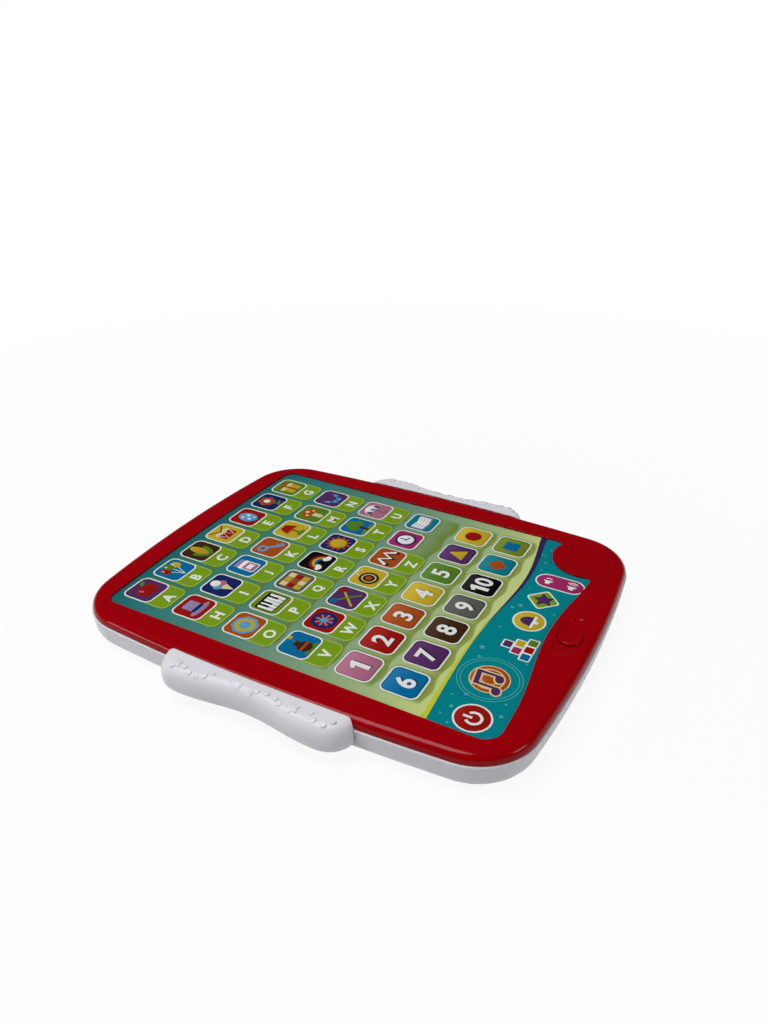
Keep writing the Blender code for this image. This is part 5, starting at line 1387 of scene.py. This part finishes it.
def draw_strip():
    """The teal strip, with its two tapering edge lines, pale dots and stars."""
    top = smooth_path([Vector(knot) for knot in STRIP_KNOTS], 16)
    reach = (WINDOW_HALF + STRIP_GROW) / MM
    edge = [point / MM for point in window_outline(STRIP_GROW)]
    below = [point for point in edge if point.y < height_at(top, point.x)]
    crest = [Vector((reach, height_at(top, reach)))]
    crest += [point for point in reversed(top) if abs(point.x) < reach]
    crest.append(Vector((-reach, height_at(top, -reach))))
    ink("strip", below + crest, 1)
    for name, first, last, thick in (("lemon", -reach, 6.0, (2.6, 0.1)), ("dusk", -12.0, reach, (0.1, 3.6))):
        upper, lower = [], []
        for x, width in zip(steps_between(first, last, 40), steps_between(*thick, 40)):
            y = height_at(top, x)
            upper.append(Vector((x, y + width / 2)))
            lower.append(Vector((x, y - width / 2)))
        ink(name, upper + lower[::-1], 2)
    pen = Pen(0, 0, 1.0, 2)
    for x, y, radius in STRIP_DOTS:
        pen.disc("pale_teal", x, y, radius)
        pen.level -= 1
    for x, y, radius, turn in STRIP_STARS:
        pen.star("pale_teal", x, y, radius, turn=turn)
        pen.level -= 1


def round_key(x, y, radius, tint):
    """A round key with a white edge; its pen goes on to draw the picture."""
    pen = Pen(x, y, radius, KEY_LEVEL)
    pen.disc("white", 0, 0, 1.0, shading=FLAT)
    pen.disc(tint, 0, 0, 0.9, shading=(0.4, 0.75))
    return pen


def draw_mode_keys():
    pen = round_key(-72.5, -92.5, 8.8, "red")
    pen.arc("white", 0, -0.06, 0.4, 0.4, 130, 410, 0.15)
    pen.line("white", [(0, 0.02), (0, 0.5)], 0.15)

    pen = Pen(-46.4, -89.4, 13.6, KEY_LEVEL)
    pen.ring("pale_teal", 0.05, 0, 0.98, 0.03)
    pen.level -= 1
    pen.ring("pale_teal", 0.05, 0, 1.1, 0.03)
    pen.disc("cream", 0.04, 0, 0.7, shading=(0.4, 0.5))
    for name, radius in (("orange", 0.66), ("cream", 0.52), ("orange", 0.47), ("yellow", 0.32),
                         ("orange", 0.25)):
        pen.disc(name, 0.04, 0, radius, shading=(0.4, 0.85))
    for name, grow in (("cream", 0.06), ("purple", 0.0)):
        for x, y in ((-0.44, -0.4), (0.16, -0.3)):
            pen.disc(name, x, y, 0.2 + grow, 0.15 + grow, 20)
            pen.line(name, [(x + 0.13, y - 0.02), (x + 0.13, y + 0.8 + grow)], 0.11 + 2 * grow)
        pen.line(name, [(-0.37 - grow, 0.34), (0.35 + grow, 0.46)], 0.18 + 2 * grow)

    pen = Pen(-18.0, -92.2, 9.6, KEY_LEVEL)
    blocks = [(0.6 * (step - (count - 1) / 2), y)
              for count, y in ((3, -0.6), (2, -0.04), (1, 0.52)) for step in range(count)]
    for x, y in blocks:
        pen.box("white", x, y, 0.31, 0.29, 0.08)
    pen.level += 1
    for name, (x, y) in zip(("blue", "red", "green", "magenta", "yellow", "purple"), blocks):
        pen.box(name, x, y, 0.24, 0.22, 0.05)
        pen.level -= 1

    pen = round_key(3.9, -90.0, 8.4, "yellow")
    pen.pie("purple", 0, -0.02, 0.42, 0.56, 0, 180)
    pen.shape("purple", [(-0.42, 0), (0.42, 0), (0.58, -0.32), (-0.58, -0.32)])
    pen.disc("white", 0, -0.42, 0.14)
    pen.box("white", 0, -0.26, 0.6, 0.08, 0.05)

    pen = Pen(24.4, -90.0, 9.0, KEY_LEVEL)
    pen.box("white", 0, 0, 0.72, 0.72, 0.2, 45, shading=FLAT)
    pen.box("lime", 0, 0, 0.63, 0.63, 0.16, 45, shading=(0.3, 0.7))
    pen.star("dusk", 0.02, -0.04, 0.66)
    pen.star("purple", 0, 0.02, 0.56)

    x, y = 42.7, -93.0
    ink("white", rounded_box(x, y, 6.6, 13.3, 6.5, 12), KEY_LEVEL)
    ink("magenta", rounded_box(x, y, 5.8, 12.5, 5.7, 12), KEY_LEVEL + 1, (0.4, 0.7))
    pen = Pen(x, y, 6.0, KEY_LEVEL + 2)
    for height, waves in ((1.06, 1), (-1.06, 2)):
        pen.shape("white", [(-0.5, height - 0.2), (-0.25, height - 0.2), (0.05, height - 0.46),
                            (0.05, height + 0.46), (-0.25, height + 0.2), (-0.5, height + 0.2)])
        for step in range(waves):
            reach = 0.34 + 0.24 * step
            pen.arc("white", 0.05, height, reach, reach, -50, 50, 0.11)


def shaded(bm, x, y, rise, level):
    """A new point of a print layer, in millimetres and above the film's face, with its shade."""
    vertex = bm.verts.new((x * MM, y * MM, PRINT_Z + rise * MM))
    vertex[bm.verts.layers.float["shade"]] = level
    return vertex


def layer_mesh(name):
    """One closed mesh from all the layers and letters of an ink, with each point's shading kept on it."""
    bm = bmesh.new()
    shade = bm.verts.layers.float.new("shade")
    for outline, hole, level, (dark, pale) in DRAWN.get(name, ()):
        low, high = min(p.y for p in outline), max(p.y for p in outline)
        top = level * LEVEL
        rings = []
        for edge, rise in ((outline, INK_FOOT), (outline, top), (hole, top), (hole, INK_FOOT)):
            rings.append([shaded(bm, *point, rise, dark + (pale - dark) * (point.y - low) / (high - low))
                          for point in edge or ()])
        if hole:
            bridge(bm, rings + rings[:1])
        else:
            bridge(bm, rings[:2])
            bm.faces.new(rings[0])
            bm.faces.new(rings[1])
    for mesh in LETTERS.get(name, ()):
        first = len(bm.verts)
        bm.from_mesh(mesh)
        bm.verts.ensure_lookup_table()
        for vertex in bm.verts[first:]:
            vertex[shade] = 0.5
    bmesh.ops.remove_doubles(bm, verts=bm.verts, dist=1e-8)
    return finished(bm, name, 20)


BAND_REACH = 77
BAND_FADE = 0.9
BAND_DROP = 0.4
BAND_WAVE = 0.9
BAND_ENDS = 3
BAND_CURVE = 1.4
BAND_LEVEL = 0.8
LETTER_BAND_DEPTH = 0.95
NUMBER_BAND_DEPTH = 0.8
NUMBER_BAND_FOOT = 1.9
SKIRT_LEVEL = 1.4
SKIRT_IN = 0.5
SKIRT_OUT = 1.5
SKIRT_SHIFT = 0.7


def band_rows():
    """Each band's head, its foot and how dark its foot is."""
    rows = [((low + high) / 2, foot, LETTER_BAND_DEPTH) for low, high, foot, _ in LETTER_ROWS]
    rows += [((low + high) / 2, low - NUMBER_BAND_FOOT, NUMBER_BAND_DEPTH) for low, high, _ in NUMBER_ROWS]
    return rows


def band_foot(foot, x):
    return foot - BAND_DROP - BAND_WAVE * math.cos(2 * math.pi * x / PITCH)


def band_level(x, share, depth):
    """How dark a band is this share of the way from its head to its foot; it fades near its ends."""
    return depth * max(0.0, min(1.0, (BAND_REACH - abs(x)) / BAND_ENDS)) * share ** BAND_CURVE


def band_shade(x, y):
    """How dark the bands are at a point of the film: 0 off them and at their heads."""
    for head, foot, depth in band_rows():
        low = band_foot(foot, x)
        if low <= y <= head:
            return band_level(x, (head - y) / (head - low), depth)
        if low - BAND_FADE < y < low:
            return band_level(x, 1.0, depth) * (1 - (low - y) / BAND_FADE)
    return 0.0


def add_skirt(bm, x, low, high):
    """The soft shadow round a tile, which runs out into the band's own shade."""
    y, half = (low + high) / 2, (high - low) / 2
    inner = rounded_box(x, y, TILE_HALF - SKIRT_IN, half - SKIRT_IN, TILE_RADIUS - SKIRT_IN)
    outer = rounded_box(x + SKIRT_SHIFT, y - SKIRT_SHIFT, TILE_HALF + SKIRT_OUT, half + SKIRT_OUT,
                        TILE_RADIUS + SKIRT_OUT)
    top = SKIRT_LEVEL * LEVEL
    rings = []
    for edge, rise in ((inner, INK_FOOT), (inner, top), (outer, top), (outer, INK_FOOT)):
        shades = [1.0 if edge is inner else band_shade(*point) for point in edge]
        rings.append([shaded(bm, *point, rise, shade) for point, shade in zip(edge, shades)])
    bridge(bm, rings + rings[:1])


def band_mesh():
    """Soft green bands behind the rows, with gently wavy feet, and soft shadows round the tiles."""
    bm = bmesh.new()
    bm.verts.layers.float.new("shade")
    for low, high, *_ in (*LETTER_ROWS, *NUMBER_ROWS):
        for x in COLUMNS:
            add_skirt(bm, x, low, high)
    for head, foot, depth in band_rows():
        rings = []
        for x in range(-BAND_REACH, BAND_REACH + 1):
            low = band_foot(foot, x)
            down = [(head + (low - head) * share, band_level(x, share, depth))
                    for share in steps_between(0, 1, 4)]
            down.append((low - BAND_FADE, 0.0))
            ring = [shaded(bm, x, y, INK_FOOT, level) for y, level in down]
            rings.append(ring + [shaded(bm, x, y, BAND_LEVEL * LEVEL, level) for y, level in reversed(down)])
        bridge(bm, rings)
        bm.faces.new(rings[0])
        bm.faces.new(rings[-1])
    return finished(bm, "bands", 20)


def build_print():
    draw_tiles()
    draw_strip()
    draw_mode_keys()
    piece("print_bands", band_mesh(), backdrop_finish("printed bands", True), "case", "printed_film",
          angle=20)
    for name in sorted({*DRAWN, *LETTERS}):
        tint = INKS.get(name) or scaled(INKS[name.removeprefix("dark_")], SHADOW_INK)
        piece(f"ink_{name}", layer_mesh(name), ink_finish(name, tint), "case", "printed_film", angle=20)


# Stage

FLOOR_RINGS = (0, 1, 4, 40)
# How much of the floor is plain white to the camera: near the tablet, and from where on all of it is
FLOOR_WHITE = 0.92
FLOOR_FADE = (0.2, 0.7)
# The world's brightness by height: a white horizon under a dim room
WORLD_LEVELS = ((0.045, 1.0), (0.09, 0.07), (0.3, 0.04), (1.0, 0.03))
CAMERA_PLACE = (-0.3255, -0.1877, 0.2681)
CAMERA_AIM = (0.0669, 0.0262, 0.0188)
CAMERA_LENS = 29.477


def floor_finish():
    """Pale and matt, but nearly white where the camera or a reflection sees it."""
    made = Finish("pale floor", 0.9)
    made.set("Specular IOR Level", 0.0)
    made.mottle((0.68, 0.68, 0.68, 1.0), 0.004, 6)
    far = made.node("VectorMath", Vector=made.place)
    far.operation = "LENGTH"
    away = made.span(far.outputs["Value"], *FLOOR_FADE, FLOOR_WHITE, 1.0)
    path = made.node("LightPath")
    seen = made.maths("MAXIMUM", path.outputs["Is Camera Ray"], path.outputs["Is Glossy Ray"])
    seen = made.maths("MAXIMUM", seen, path.outputs["Is Transmission Ray"])
    glow = made.node("Emission")
    mix = made.node("MixShader", Fac=made.maths("MULTIPLY", away, seen))
    links = made.tree.links
    links.new(made.shader.outputs[0], mix.inputs[1])
    links.new(glow.outputs[0], mix.inputs[2])
    links.new(mix.outputs[0], made.tree.nodes["Material Output"].inputs["Surface"])
    return made.material


def aimed(name, data, place, target=(0, 0, 0)):
    obj = added(name, data)
    obj.location = place
    obj.rotation_euler = (Vector(target) - Vector(place)).to_track_quat("-Z", "Y").to_euler()
    return obj


def softbox(name, place, size, watts):
    light = bpy.data.lights.new(name, "AREA")
    light.shape = "RECTANGLE"
    light.size, light.size_y = size
    light.energy = watts
    aimed(name, light, place)


def build_stage():
    """A pale floor that runs out to a white horizon, soft lights and the camera."""
    mesh = turned("floor", [(radius, 0) for radius in FLOOR_RINGS], 96)
    mesh.materials.append(floor_finish())
    added("floor", mesh)

    world = bpy.data.worlds.new("studio")
    bpy.context.scene.world = world
    world.use_nodes = True
    nodes, links = world.node_tree.nodes, world.node_tree.links
    way = nodes.new("ShaderNodeTexCoord")
    parts = nodes.new("ShaderNodeSeparateXYZ")
    ramp = nodes.new("ShaderNodeValToRGB")
    links.new(way.outputs["Generated"], parts.inputs[0])
    links.new(parts.outputs["Z"], ramp.inputs[0])
    links.new(ramp.outputs[0], nodes["Background"].inputs["Color"])
    set_stops(ramp, [(height, (level, level, level, 1.0)) for height, level in WORLD_LEVELS])

    softbox("overhead", (-0.25, 0.35, 1.42), (0.9, 0.9), 22)
    softbox("left strip", (-1.15, 1.0, 0.42), (0.5, 0.3), 5)
    softbox("right strip", (0.09, -1.38, 0.7), (0.5, 0.3), 5)

    camera = bpy.data.cameras.new("camera")
    camera.sensor_fit = "VERTICAL"
    camera.sensor_height = 36
    camera.lens = CAMERA_LENS
    camera.clip_start = 0.01
    camera.dof.use_dof = False
    bpy.context.scene.camera = aimed("camera", camera, CAMERA_PLACE, CAMERA_AIM)
    bpy.context.scene.view_settings.view_transform = "Standard"


build_front_bezel()
build_rear_shell()
build_grips()
build_home_button()
build_screws()
build_door()
build_cells()
build_print()
dress_nodes()
build_stage()
